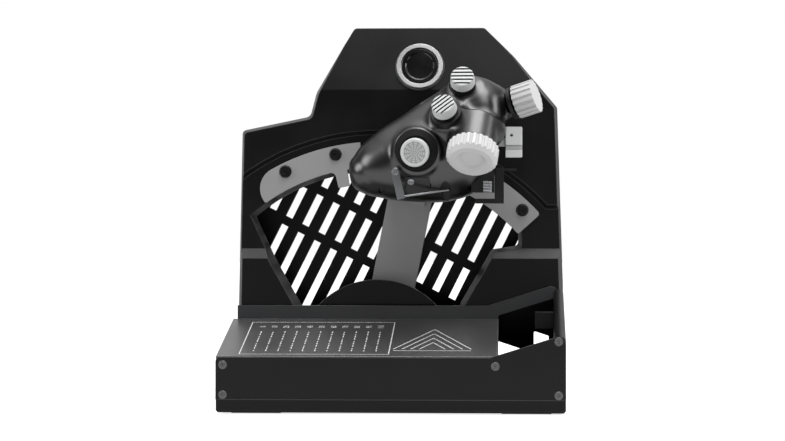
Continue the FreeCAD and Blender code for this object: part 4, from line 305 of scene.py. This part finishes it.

# %% [markdown]
# Some pieces share a slot but differ: the top is coated more smoothly than the walls, the lever is bare
# steel, and deep flutes need painted shade with a wider reach. These few get a finish by name.

# %% Finishes of single pieces
OWN_FINISHES = {
    # smooth powder coat on the sloped top: a soft grey shine that drifts slowly; its grey base colour is
    # partly a painted sheen, and its edges carry a pale painted highlight
    "top_plate": surfaced("powder_coated_steel_smooth", "#343434", 0.36, 0.5, 0.008, specular=1.0,
                          patch_mm=60.0, edge_mm=0.8, edge_highlight_hex="#8a8a8a"),
    # the slab's coat: darker and duller than the walls
    "base_plate": surfaced("powder_coated_steel_base", "#0c0c0d", 0.45, 0.5, 0.02, specular=0.2,
                           edge_mm=0.8),
    # the raised strip's smooth coat: a little lighter than the walls, so it reads as a line
    "plinth_strip": surfaced("powder_coated_steel_smooth_strip", "#1d1e20", 0.34, 0.5, 0.01, specular=0.5),
    # burnished steel of the squeezed lever: a dim, even mirror, its fine scratches drawn coarser than real
    "paddle_lever": surfaced("burnished_steel_dark", "#8e8f91", 0.32, 0.3, 0.006, metallic=1.0),
    # the cap's polycarbonate with its rings and spokes
    "mini_stick": surfaced("moulded_pc_ringed", "#b9baba", 0.4, 0.35, 0.012, specular=0.35,
                           darkness=cap_rings),
    # black zinc plating of the five front screws: lighter than the plate round them
    "front_plate_screws": surfaced("zinc_black_steel", "#636363", 0.42, 0.3, 0.006, metallic=0.9,
                                   edge_mm=0.4),
    # the large knob's deep flutes: the same polycarbonate with painted shade that reaches further out
    "antenna_knob": surfaced("moulded_pc_light_grey_knob", "#bcbcbc", 0.4, 0.35, 0.012, specular=0.35,
                             patch_tone=0.02, crease_mm=6.0),
    # the small knob's finer flutes, with painted shade reaching a little less far
    "range_knob": surfaced("moulded_pc_light_grey_dial", "#bcbcbc", 0.4, 0.35, 0.012, specular=0.35,
                           patch_tone=0.02, crease_mm=4.5),
    # black anodised plate let into the grip: smooth, with a clear satin shine
    "lever_plate": surfaced("black_anodised_aluminium", "#0f0f10", 0.3, 0.3, 0.004, specular=0.5),
}
slot_of = {row["node"]: row["material_slot"] for row in frame["record"]["subparts"]}
for node_name, node_object in frame["nodes"].items():
    node_object.data.materials.clear()
    node_object.data.materials.append(OWN_FINISHES.get(node_name) or FINISHES[slot_of[node_name]])
print("finishes given to", len(slot_of), "nodes,", len(OWN_FINISHES), "of them their own")


# %% [markdown]
# The print on the sloped top has to lie on a face whose tilt belongs to the part. So the face's plane is
# read from the node's own triangles, and the print follows if a size changes.

# %% Find a flat face's plane
FACES_IT = 0.7         # cosine of about 45 degrees: a face nearer than this to the direction looks that way
SAME_NORMAL_DIGITS = 2


def face_plane(node, towards):
    """The normal and a point of the largest flat face that looks towards a direction. Triangles are grouped
    by their rounded normals, and the group with the most area wins. The point is the mean of its triangles'
    centres, each weighed by its area."""
    mesh = frame["nodes"][node].data
    count = len(mesh.polygons)
    normals, centres, areas = np.zeros(count * 3), np.zeros(count * 3), np.zeros(count)
    mesh.polygons.foreach_get("normal", normals)
    mesh.polygons.foreach_get("center", centres)
    mesh.polygons.foreach_get("area", areas)
    normals, centres = normals.reshape(-1, 3), centres.reshape(-1, 3)
    looks = normals @ np.array(towards) > FACES_IT
    group = np.unique(np.round(normals[looks], SAME_NORMAL_DIGITS), axis=0, return_inverse=True)[1].ravel()
    chosen = group == np.argmax(np.bincount(group, areas[looks]))
    weight = areas[looks][chosen][:, None]
    normal = (normals[looks][chosen] * weight).sum(0)
    return normal / np.linalg.norm(normal), (centres[looks][chosen] * weight).sum(0) / weight.sum()


plate_normal, plate_point = face_plane("top_plate", (0, 0, 1))
print("the top leans by", round(math.degrees(math.acos(plate_normal[2])), 1), "degrees")

# %% [markdown]
# The print is thin paint. Each mark is a flat strip a twentieth of a millimetre proud of the plate, and the
# numbers are plain figures for a scale. Nothing else is written on the object. Real geometry was chosen
# over a pattern in the material, because its edges stay sharp and it exports as it is.

# %% Points on the plate and a helper for new pieces
PROUD = 0.05 * MM
# screen-print ink: an even light grey with a dull shine, its tooth drawn coarser than real
PAINT = surfaced("screen_print_ink_grey", "#c4c4c4", 0.5, 0.3, 0.004, specular=0.3, patch_tone=0.05)


def on_plate(x, y):
    """The point of the sloped face over x and y, lifted by the paint's thickness. The height is the one
    that makes the step from the face's point stand square to the normal."""
    nx, ny, nz = plate_normal
    z = plate_point[2] - (nx * (x - plate_point[0]) + ny * (y - plate_point[1])) / nz
    return np.stack([x, y, z], -1) + plate_normal * PROUD


def piece(name, verts, faces, finish, body, smooth=False):
    """A mesh object from arrays of points and faces, finished, and riding on its body."""
    mesh = bpy.data.meshes.new(name)
    mesh.from_pydata([tuple(p) for p in verts], [], [tuple(f) for f in faces])
    mesh.validate()
    mesh.materials.append(finish)
    mesh.polygons.foreach_set("use_smooth", [smooth] * len(mesh.polygons))
    made = bpy.data.objects.new(name, mesh)
    bpy.context.scene.collection.objects.link(made)
    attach(made, body)
    print(name, "made:", len(mesh.polygons), "faces")
    return made


def strips(name, lines):
    """Flat strips on the plate. Each line is x and y of its start, x and y of its end, and its width, in
    millimetres. Its four corners are its ends, plus and minus half the width across it."""
    b = np.array(lines, float) * MM
    start, end = b[:, 0:2], b[:, 2:4]
    way = (end - start) / np.linalg.norm(end - start, axis=1)[:, None]
    across = np.stack([-way[:, 1], way[:, 0]], -1) * b[:, 4:5] / 2
    corners = np.stack([start - across, end - across, end + across, start + across], 1).reshape(-1, 2)
    faces = np.arange(len(corners)).reshape(-1, 4)
    return piece(name, on_plate(corners[:, 0], corners[:, 1]), faces, PAINT, "root")


print("paint lies", PROUD / MM, "mm above the plate")

# %% [markdown]
# The scale is a thin frame with eleven columns of short dashes. They are written as lines with a width, the
# way a draughtsman would rule them, because one function then makes every straight mark on the plate.

# %% The frame and its rows of dashes
print_left, print_right = -104.6, -1.6        # the frame's sides and ends, in millimetres
print_front, print_back = -74.0, 14.0
RULE = 0.7                                    # width of the frame's line
SIDE_MARGIN, FRONT_MARGIN, FIGURE_ROOM = 9.0, 8.0, 26.0
COLUMNS, DASH_STEP = 11, 6.2
LONG_DASH, SHORT_DASH, DASH_WIDTH = 4.2, 2.4, 0.8

frame_strips = [(print_left, print_front, print_right, print_front, RULE),
                (print_left, print_back, print_right, print_back, RULE),
                (print_left, print_front, print_left, print_back, RULE),
                (print_right, print_front, print_right, print_back, RULE)]
columns = np.linspace(print_left + SIDE_MARGIN, print_right - SIDE_MARGIN, COLUMNS)
rows = np.arange(print_front + FRONT_MARGIN, print_back - FIGURE_ROOM, DASH_STEP)
dashes = [(x, y, x, y + (LONG_DASH if (k + i) % 3 else SHORT_DASH), DASH_WIDTH)    # every third is short
          for i, x in enumerate(columns) for k, y in enumerate(rows)]
strips("plate_scale", frame_strips + dashes)


# %% [markdown]
# A figure is easiest to get from a text object. But a text keeps its place in the object, while finished
# pieces keep theirs in the mesh, so each is made a mesh first and then laid on the plate point by point.

# %% Figures at the head of each row
FIGURE_SIZE, FIGURE_SHIFT, FIGURE_LINE = 6.0, 1.6, print_back - 13


def figures(name, words, places, size_mm):
    """Plain figures as flat mesh. Each is set as text, made a mesh, turned a quarter so that its line runs
    away from the front, moved to its place in millimetres and laid on the plate."""
    points, polygons, first = [], [], 0
    for word, (x, y) in zip(words, places):
        letters = bpy.data.curves.new(name, "FONT")
        letters.body, letters.size, letters.align_x = word, size_mm * MM, "CENTER"
        holder = bpy.data.objects.new(name, letters)
        bpy.context.scene.collection.objects.link(holder)
        flat = bpy.data.meshes.new_from_object(holder.evaluated_get(bpy.context.evaluated_depsgraph_get()))
        bpy.data.objects.remove(holder)
        spots = np.zeros(len(flat.vertices) * 3)
        flat.vertices.foreach_get("co", spots)
        spots = spots.reshape(-1, 3)
        points.append(on_plate(x * MM - spots[:, 1], y * MM + spots[:, 0]))
        polygons += [[first + v for v in face.vertices] for face in flat.polygons]
        first += len(spots)
    return piece(name, np.vstack(points), polygons, PAINT, "root")


figures("plate_figures", [str(10 * i) for i in range(COLUMNS)],
        [(x + FIGURE_SHIFT, FIGURE_LINE) for x in columns], FIGURE_SIZE)

# %% [markdown]
# Beside the scale the plate carries a plain ornament: four nested chevrons over a bar. It fills a field that
# would look empty, and it is made of the same strips as the scale.

# %% Nested chevrons beside the scale
MOTIF_X, MOTIF_Y = 28.0, -60.0                 # the middle of the chevrons' feet
CHEVRONS, STEEPNESS, STROKE, BAR_GAP = (9.0, 15.0, 21.0, 27.0), 2.0, 0.9, 4.0
chevron = []
for half in CHEVRONS:
    tip = MOTIF_Y + half * STEEPNESS
    chevron += [(MOTIF_X - half, MOTIF_Y, MOTIF_X, tip, STROKE),
                (MOTIF_X, tip, MOTIF_X + half, MOTIF_Y, STROKE)]
chevron.append((MOTIF_X - CHEVRONS[-1], MOTIF_Y - BAR_GAP,
                MOTIF_X + CHEVRONS[-1], MOTIF_Y - BAR_GAP, STROKE))
strips("plate_motif", chevron)


# %% [markdown]
# The grip is one flowing casting: a palm swell, a ridge under the top hat, and round bosses that melt into
# it. Separate solids would meet in hard creases. So every body is written as a distance, below zero inside
# it, because two distances can be blended where a mesh can't. The first body is an oval loft along the grip.

# %% The oval loft
GRIP_MIDDLE = np.array([23.41, -14.5, 187.83]) * MM
GRIP_LEAN = math.radians(31.0)
LONG_WAY = np.array([math.cos(GRIP_LEAN), 0, math.sin(GRIP_LEAN)])
UP_WAY = np.array([-math.sin(GRIP_LEAN), 0, math.cos(GRIP_LEAN)])
# stations along the grip, and at each how far it reaches above and below its axis, and to either side
STATIONS = np.array([-61.5, -58.0, -48.0, -30.0, -8.0, 16.0, 40.0, 58.0, 65.0]) * MM
ABOVE = np.array([4.5, 12.5, 20.0, 24.8, 26.0, 27.0, 26.0, 17.0, 8.0]) * MM
BELOW = np.array([1.5, 7.0, 17.0, 31.0, 43.5, 46.5, 30.0, 11.0, 2.0]) * MM
HALF_WIDE = np.array([4.5, 13.0, 21.0, 27.0, 30.0, 30.0, 27.0, 19.0, 9.0]) * MM
END_ROUNDING, BOSS_ROUNDING = 2 * MM, 2.5 * MM


def smooth_lookup(at, places, values):
    """A cubic through the stations. In each span t runs from 0 to 1, and the value is the end values and
    end slopes weighed by the four Hermite cubics of t, with each slope the average of its neighbours'."""
    slopes = np.gradient(values, places)
    i = np.clip(np.searchsorted(places, at) - 1, 0, len(places) - 2)
    span = places[i + 1] - places[i]
    t = np.clip((at - places[i]) / span, 0, 1)
    return ((2 * t**3 - 3 * t**2 + 1) * values[i] + (t**3 - 2 * t**2 + t) * span * slopes[i]
            + (3 * t**2 - 2 * t**3) * values[i + 1] + (t**3 - t**2) * span * slopes[i + 1])


def blend(a, b, width):
    """The lower of two distances, with the corner between them rounded over a width. The share h is a half
    plus half their difference over the width, kept between 0 and 1. The result mixes the two by h, less
    the width times h times 1 - h, which is what rounds the corner."""
    h = np.clip(0.5 + 0.5 * (b - a) / width, 0, 1)
    return b * (1 - h) + a * h - width * h * (1 - h)


def loft(p):
    """Distance to the oval loft: the oval's radius less one, times its smaller half width, cut off at the
    first and last stations. Turning both signs makes blend give the higher of two, so the ends are
    rounded."""
    q = p - GRIP_MIDDLE
    along, up, across = q @ LONG_WAY, q @ UP_WAY, q[..., 1]
    above, below = smooth_lookup(along, STATIONS, ABOVE), smooth_lookup(along, STATIONS, BELOW)
    half = smooth_lookup(along, STATIONS, HALF_WIDE)
    tall = (above + below) / 2
    ring = np.sqrt(((up - (above - below) / 2) / tall) ** 2 + (across / half) ** 2)
    ends = np.maximum(STATIONS[0] - along, along - STATIONS[-1])
    return -blend(-(ring - 1) * np.minimum(tall, half), -ends, END_ROUNDING)


print("grip loft:", len(STATIONS), "stations over", round((STATIONS[-1] - STATIONS[0]) / MM, 1), "mm")

# %% [markdown]
# Each control sits on a round boss, and a finger-like ridge runs from the top hat down to the large knob.
# They are added to the loft one after another, each with its own width of blend: a wide one looks cast.

# %% Bosses and the ridge
BOSSES = [  # seat, way, radius and depth in millimetres, width of the blend
    ((16.5, -46.5, 180.9), STICK_WAY, 16.8, 13, 5),                    # mini-stick
    ((48.9, -29.5, 226.7), (-0.05, -0.86, 0.5), 11.2, 13, 6),          # upper hat
    ((37.6, -42.5, 206.2), (-0.2, -0.81, 0.55), 12.6, 13, 6),          # lower hat
    ((82.2, -18.5, 215.0), (0.92, -0.26, 0.29), 9.5, 24, 6),           # small knob
    ((56.3, -51.9, 182.5), (-0.12, -0.60, -0.79), 15.5, 24, 7),        # large knob
]
RIDGE_TOP = np.array([60.0, -22.0, 221.0]) * MM
RIDGE_FOOT = np.array([67.0, -33.0, 196.0]) * MM
RIDGE_RADIUS, RIDGE_BLEND = 11.5 * MM, 6 * MM


def boss(p, seat, way, radius, depth):
    """Distance to a round boss below its seat: the larger of the distances to its side and to its ends."""
    q = p - seat
    along = q @ way
    side = np.linalg.norm(q - along[..., None] * way, axis=-1) - radius
    return -blend(-side, -np.maximum(along, -depth - along), BOSS_ROUNDING)


def capsule(p, start, end, radius):
    """Distance to a rounded rod: the distance to the nearest point of the line between its ends, less its
    radius. The nearest point is the projection onto the line, kept between the ends."""
    span = end - start
    t = np.clip((p - start) @ span / (span @ span), 0, 1)
    return np.linalg.norm(p - start - t[..., None] * span, axis=-1) - radius


def grip_distance(p):
    """The loft with every boss and the ridge blended into it."""
    d = loft(p)
    for seat, way, radius, depth, width in BOSSES:
        d = blend(d, boss(p, np.array(seat) * MM, unit(*way), radius * MM, depth * MM), width * MM)
    return blend(d, capsule(p, RIDGE_TOP, RIDGE_FOOT, RIDGE_RADIUS), RIDGE_BLEND)


print("bosses blended into the grip:", len(BOSSES))

# %% [markdown]
# The blended distance is zero on the grip's skin. From the grip's middle every ray crosses that skin once,
# so the skin is a function of two angles, as on a globe. Each ray is sampled outwards to find the last
# point inside, and the span after it is halved until the crossing is known to far less than a hair.

# %% Find the surface along rays
AROUND, ALONG = 440, 220
NEAREST, FARTHEST, SAMPLES, HALVINGS = 4 * MM, 95 * MM, 140, 22


def closed_grid(around, rows, first_pole, last_pole):
    """Faces of a grid wrapped round like a globe: quads between rows and triangles to the two poles."""
    i = np.arange(rows - 1)[:, None] * around
    j = np.arange(around)[None, :]
    k = (j + 1) % around
    quads = np.stack([i + j, i + k, i + around + k, i + around + j], -1).reshape(-1, 4)
    last = (rows - 1) * around
    caps = [(first_pole, b, a) for a, b in zip(j.ravel(), k.ravel())]
    caps += [(last_pole, last + a, last + b) for a, b in zip(j.ravel(), k.ravel())]
    return quads, caps


def globe_rays(around, rows, axis, side_a, side_b):
    """Directions on a globe: the cosine of the tilt along the axis, and its sine times the turn's cosine and
    sine along the two sides. The two poles come last."""
    turns = np.linspace(0, 2 * math.pi, around, endpoint=False)
    tilts = np.linspace(0, math.pi, rows + 2)[1:-1]
    rays = (np.cos(tilts)[:, None, None] * axis
            + np.sin(tilts)[:, None, None] * (np.cos(turns)[None, :, None] * side_a
                                              + np.sin(turns)[None, :, None] * side_b)).reshape(-1, 3)
    return np.vstack([rays, axis, -axis])


rays = globe_rays(AROUND, ALONG, LONG_WAY, UP_WAY, np.array([0, 1.0, 0]))
steps = np.linspace(NEAREST, FARTHEST, SAMPLES)
outside = np.array([grip_distance(GRIP_MIDDLE + rays * s) > 0 for s in steps])
last_inside = len(steps) - 1 - np.argmax(~outside[::-1], axis=0)
near, far = steps[last_inside], steps[np.minimum(last_inside + 1, len(steps) - 1)]
for _ in range(HALVINGS):
    halfway = (near + far) / 2
    out = grip_distance(GRIP_MIDDLE + rays * halfway[:, None]) > 0
    near, far = np.where(out, near, halfway), np.where(out, halfway, far)
skin_points = GRIP_MIDDLE + rays * near[:, None]
quads, caps = closed_grid(AROUND, ALONG, ALONG * AROUND, ALONG * AROUND + 1)
print("grip skin found:", len(skin_points), "points,", len(quads) + len(caps), "faces")


# %% [markdown]
# The casting has an oval hole that the lever's rod enters, a smaller one at its heel, and pockets for the
# lever's plate and the rocking switch. A surface found along rays can't turn back on itself, so these are
# cut out afterwards with Boolean modifiers, as a milling cutter would, and the result is kept as plain mesh.

# %% Cutters and the Boolean cut
RIM_POINTS = 48


def oval_cutter(centre, way, up, half_width, half_height, half_depth):
    """A prism on an oval: the oval is a cosine and a sine of the half sizes, set at the half depth both
    ways from its centre."""
    way, up = unit(*way), unit(*up)
    across = np.cross(way, up)
    a = np.linspace(0, 2 * math.pi, RIM_POINTS, endpoint=False)[:, None]
    rim = np.cos(a) * half_width * across + np.sin(a) * half_height * up
    verts = np.vstack([centre + rim - way * half_depth, centre + rim + way * half_depth])
    k = np.arange(RIM_POINTS)
    next_k = (k + 1) % RIM_POINTS
    sides = np.stack([k, next_k, next_k + RIM_POINTS, k + RIM_POINTS], -1)
    return verts, [*sides.tolist(), k[::-1].tolist(), (k + RIM_POINTS).tolist()]


def cutting_block(points, polygons):
    """A closed object whose faces all point outwards, for the Boolean to work on."""
    mesh = bpy.data.meshes.new("cutting")
    mesh.from_pydata([tuple(p) for p in points], [], [tuple(f) for f in polygons])
    work = bmesh.new()
    work.from_mesh(mesh)
    bmesh.ops.recalc_face_normals(work, faces=work.faces)
    work.to_mesh(mesh)
    work.free()
    made = bpy.data.objects.new("cutting", mesh)
    bpy.context.scene.collection.objects.link(made)
    return made


def carve(verts, faces, cutters):
    """The mesh less every cutter, by exact Boolean modifiers evaluated one after another."""
    block = cutting_block(verts, faces)
    tools = [cutting_block(*cutter) for cutter in cutters]
    for tool in tools:
        step = block.modifiers.new("carve", "BOOLEAN")
        step.operation, step.solver, step.object = "DIFFERENCE", "EXACT", tool
    carved = bpy.data.meshes.new_from_object(block.evaluated_get(bpy.context.evaluated_depsgraph_get()))
    for spare in [block, *tools]:
        bpy.data.objects.remove(spare)
    points = np.zeros(len(carved.vertices) * 3)
    carved.vertices.foreach_get("co", points)
    return points.reshape(-1, 3), [list(face.vertices) for face in carved.polygons]


print("cutters are prisms of", RIM_POINTS, "sides")

# %% [markdown]
# Each cut takes its place from the piece that goes there: the hole from the lever's box, the pocket from
# the plate's, the seat from the switch's. So a cut stays under its piece when that piece moves.

# %% Places of the cuts
lever_low, lever_high = (np.array(c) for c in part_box("paddle_lever"))
plate_low, plate_high = (np.array(c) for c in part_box("lever_plate"))
switch_low, switch_high = (np.array(c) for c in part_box("comm_switch"))
ROD_IN_X, ROD_IN_Y, ROD_UP_Z = 2.2 * MM, 4 * MM, 6.2 * MM      # the rod's entry, in from the lever's corner
HEEL_FROM_HOLE = np.array([-46.0, 0, -1.0]) * MM
SEAT_FROM_SWITCH, SEAT_OUT, POCKET_OUT = 13.4 * MM, np.array([7.0, 0, 0]) * MM, 6 * MM

hole_spot = np.array([lever_high[0] - ROD_IN_X, lever_high[1] - ROD_IN_Y, lever_low[2] + ROD_UP_Z])
heel_spot = hole_spot + HEEL_FROM_HOLE
plate_way = unit(0, -0.81, -0.58)                              # the way the let-in plate faces
pocket_spot = (plate_low + plate_high) / 2 + plate_way * POCKET_OUT
switch_seat = np.array([switch_high[0] - SEAT_FROM_SWITCH, (switch_low[1] + switch_high[1]) / 2,
                        (switch_low[2] + switch_high[2]) / 2])
cuts = [  # centre, way, upright, and half the width, height and depth in millimetres
    (switch_seat + SEAT_OUT, (1, 0, 0), (0, 0, 1), 9.0, 13.5, 7.0),          # seat of the rocking switch
    (hole_spot, (0, 1, 0), (0, 0, 1), 3.8, 6.6, 16),                         # hole for the lever's rod
    (heel_spot, (0.1, 1, 0.25), (0.6, 0, 1), 1.9, 3.4, 14),                  # small hole at the heel
    (pocket_spot, plate_way, (1, 0, 0), 7.4, 9.2, 7.6),                      # pocket of the lever's plate
]
print("cuts placed:", len(cuts))

# %% [markdown]
# Now the skin is cut and becomes the piece that the eye sees. The two shells it stands for stay in the model
# for collision. Its finish is the plating of the shells' own slot, and it rides on the swinging arm.

# %% The grip's casting
SHARP_ABOVE = math.radians(35)          # the cuts' rims stay sharp, the casting's flow is shaded smooth
cutters = [oval_cutter(centre, way, up, wide * MM, high * MM, deep * MM)
           for centre, way, up, wide, high, deep in cuts]
cast_points, cast_faces = carve(skin_points, [*quads.tolist(), *caps], cutters)
grip_skin = piece("grip_casting", cast_points, cast_faces, FINISHES["grip_shell"], "throttle",
                  smooth=True)
grip_skin.data.set_sharp_from_angle(angle=SHARP_ABOVE)
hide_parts("grip_front_shell", "grip_rear_shell")
print("grip casting, box in mm:", np.round(cast_points.min(0) / MM, 1), np.round(cast_points.max(0) / MM, 1))

# %% [markdown]
# The studio has a pale paper floor that keeps the shadow. A lit floor alone fades to grey towards its far
# side, so the paper also glows a little where the eye looks at it, and more the further it lies from the
# object, until it meets the white surroundings without a line. Light Path tells the eye's rays from the
# others, so the glow throws no light on the object and shows only faintly in what mirrors it.

# %% Floor
FLOOR_HALF, FLOOR_HEIGHT = 6, -0.0002        # in metres, a fifth of a millimetre under the feet
GLOW_NEAR, GLOW_FAR = 0.2, 0.9               # metres from the middle where the glow rises
GLOW_LOW, GLOW_FULL, GLOW_MIRRORED = 0.8, 1.0, 0.15

floor_mesh = bpy.data.meshes.new("floor")
floor_mesh.from_pydata([(x * FLOOR_HALF, y * FLOOR_HALF, FLOOR_HEIGHT)
                        for x, y in ((-1, -1), (1, -1), (1, 1), (-1, 1))], [], [(0, 1, 2, 3)])
floor = bpy.data.objects.new("floor", floor_mesh)
bpy.context.scene.collection.objects.link(floor)
# matt white paper: it takes the light evenly and shows no highlight; fibres of 1.5 mm, coarser than real
paper, paper_tree, paper_place = new_finish("matt_paper_white")
fibre = add(paper_tree, "ShaderNodeTexNoise", {"Scale": METRE_IN_MM / 1.5, "Detail": 3.0},
            {"Vector": paper_place})
tooth = add(paper_tree, "ShaderNodeBump", {"Strength": 0.2, "Distance": 0.01 * MM},
            {"Height": fibre.outputs["Fac"]})
matt = add(paper_tree, "ShaderNodeBsdfDiffuse", {"Color": linear("#ededed")},
           {"Normal": tooth.outputs["Normal"]})
sight = add(paper_tree, "ShaderNodeLightPath")
looked = add(paper_tree, "ShaderNodeMath", operation="MAXIMUM",
             links={0: sight.outputs["Is Camera Ray"], 1: sight.outputs["Is Transmission Ray"]})
mirrored = add(paper_tree, "ShaderNodeMath", {1: GLOW_MIRRORED}, {0: sight.outputs["Is Glossy Ray"]},
               operation="MULTIPLY")
shining = add(paper_tree, "ShaderNodeMath", links={0: looked.outputs[0], 1: mirrored.outputs[0]},
              operation="MAXIMUM")
away = add(paper_tree, "ShaderNodeVectorMath", links={0: paper_place}, operation="LENGTH")
whiter = add(paper_tree, "ShaderNodeMapRange",
             {"From Min": GLOW_NEAR, "From Max": GLOW_FAR, "To Min": GLOW_LOW, "To Max": GLOW_FULL},
             {"Value": away.outputs["Value"]})
glow_level = add(paper_tree, "ShaderNodeMath", links={0: shining.outputs[0], 1: whiter.outputs["Result"]},
                 operation="MULTIPLY")
glow = add(paper_tree, "ShaderNodeEmission", links={"Strength": glow_level.outputs[0]})
both = add(paper_tree, "ShaderNodeAddShader", links={0: matt.outputs["BSDF"], 1: glow.outputs["Emission"]})
add(paper_tree, "ShaderNodeOutputMaterial", links={"Surface": both.outputs["Shader"]})
floor_mesh.materials.append(paper)
print("floor:", 2 * FLOOR_HALF, "m square")

# %% [markdown]
# The world does three jobs. The eye sees it plain white. Diffuse rays get a weak even light from it that
# opens the shadows. Mirroring surfaces see it white behind the object, bright overhead and nearly dark
# elsewhere, because plated metal only looks like metal when it has both light and dark to mirror.

# %% World
FILL_LIGHT = 0.24
BACK_FROM, BACK_FULL = 0.3, 0.95             # how far a direction points to the back: 1 is straight back
TOP_FROM, TOP_FULL = 0.5, 0.95               # how far it points up: 1 is straight up
MIRROR_DARK, MIRROR_TOP = 0.02, 2.2

world = bpy.data.worlds.new("studio")
bpy.context.scene.world = world
world.use_nodes = True
sky = world.node_tree
sky.nodes.clear()
path = add(sky, "ShaderNodeLightPath")
seen = add(sky, "ShaderNodeMath", operation="MAXIMUM",
           links={0: path.outputs["Is Camera Ray"], 1: path.outputs["Is Transmission Ray"]})
heading = add(sky, "ShaderNodeTexCoord")
split = add(sky, "ShaderNodeSeparateXYZ", links={"Vector": heading.outputs["Generated"]})
behind = add(sky, "ShaderNodeMapRange", {"From Min": BACK_FROM, "From Max": BACK_FULL},
             {"Value": split.outputs["Y"]})
above = add(sky, "ShaderNodeMapRange",
            {"From Min": TOP_FROM, "From Max": TOP_FULL, "To Min": MIRROR_DARK, "To Max": MIRROR_TOP},
            {"Value": split.outputs["Z"]}, interpolation_type="SMOOTHSTEP")
mirrored_sky = add(sky, "ShaderNodeMath", links={0: behind.outputs["Result"], 1: above.outputs["Result"]},
                   operation="MAXIMUM")
glossy = add(sky, "ShaderNodeMath", links={0: path.outputs["Is Glossy Ray"], 1: mirrored_sky.outputs[0]},
             operation="MULTIPLY")
soft = add(sky, "ShaderNodeMath", {1: FILL_LIGHT}, {0: path.outputs["Is Diffuse Ray"]}, operation="MULTIPLY")
lit = add(sky, "ShaderNodeMath", links={0: glossy.outputs[0], 1: soft.outputs[0]}, operation="ADD")
shown = add(sky, "ShaderNodeMath", links={0: seen.outputs[0], 1: lit.outputs[0]}, operation="MAXIMUM")
backdrop = add(sky, "ShaderNodeBackground", {"Color": (1, 1, 1, 1)}, {"Strength": shown.outputs[0]})
add(sky, "ShaderNodeOutputWorld", links={"Surface": backdrop.outputs["Background"]})
print("world:", len(sky.nodes), "nodes")

# %% [markdown]
# Four square lamps. The overhead one gives the form and the shadow, the front one fills the face that the
# eye sees, and one at each side draws the long edges. They are large for their distance, so their shadows
# are soft and their mirror images are broad.

# %% Lamps
AIM = (0, 0, 0.14)
LAMPS = [  # name, place and size in metres, power in watts
    ("overhead", (0.15, -0.25, 1.3), 0.8, 14),
    ("front", (0.4, -1.0, 1.35), 0.8, 8),
    ("left_edge", (-1.2, -0.35, 0.7), 0.6, 9),
    ("right_edge", (1.2, -0.1, 0.7), 0.6, 7),
]
for name, place, size, power in LAMPS:
    shine = bpy.data.lights.new(name, "AREA")
    shine.size, shine.energy = size, power
    lamp = bpy.data.objects.new(name, shine)
    lamp.location = place
    lamp.rotation_euler = (Vector(AIM) - Vector(place)).to_track_quat("-Z", "Y").to_euler()
    bpy.context.scene.collection.objects.link(lamp)
print("lamps:", ", ".join(row[0] for row in LAMPS))

# %% [markdown]
# A long lens from nearly two metres away keeps the upright lines almost parallel. The camera looks level,
# from a little right of the middle and turned back towards it, which shows the right sides a trifle more.

# %% Camera
LENS_MM, SENSOR_MM = 111.9, 36.0
EYE, TURN = (0.088, -1.7465, 0.1326), 2.97   # in metres, and in degrees to the left

lens = bpy.data.cameras.new("camera")
lens.lens, lens.sensor_width = LENS_MM, SENSOR_MM
camera = bpy.data.objects.new("camera", lens)
camera.location = EYE
camera.rotation_euler = (math.radians(90), 0, math.radians(TURN))
bpy.context.scene.collection.objects.link(camera)
bpy.context.scene.camera = camera
bpy.context.scene.view_settings.view_transform = "Standard"
print("camera at", EYE)
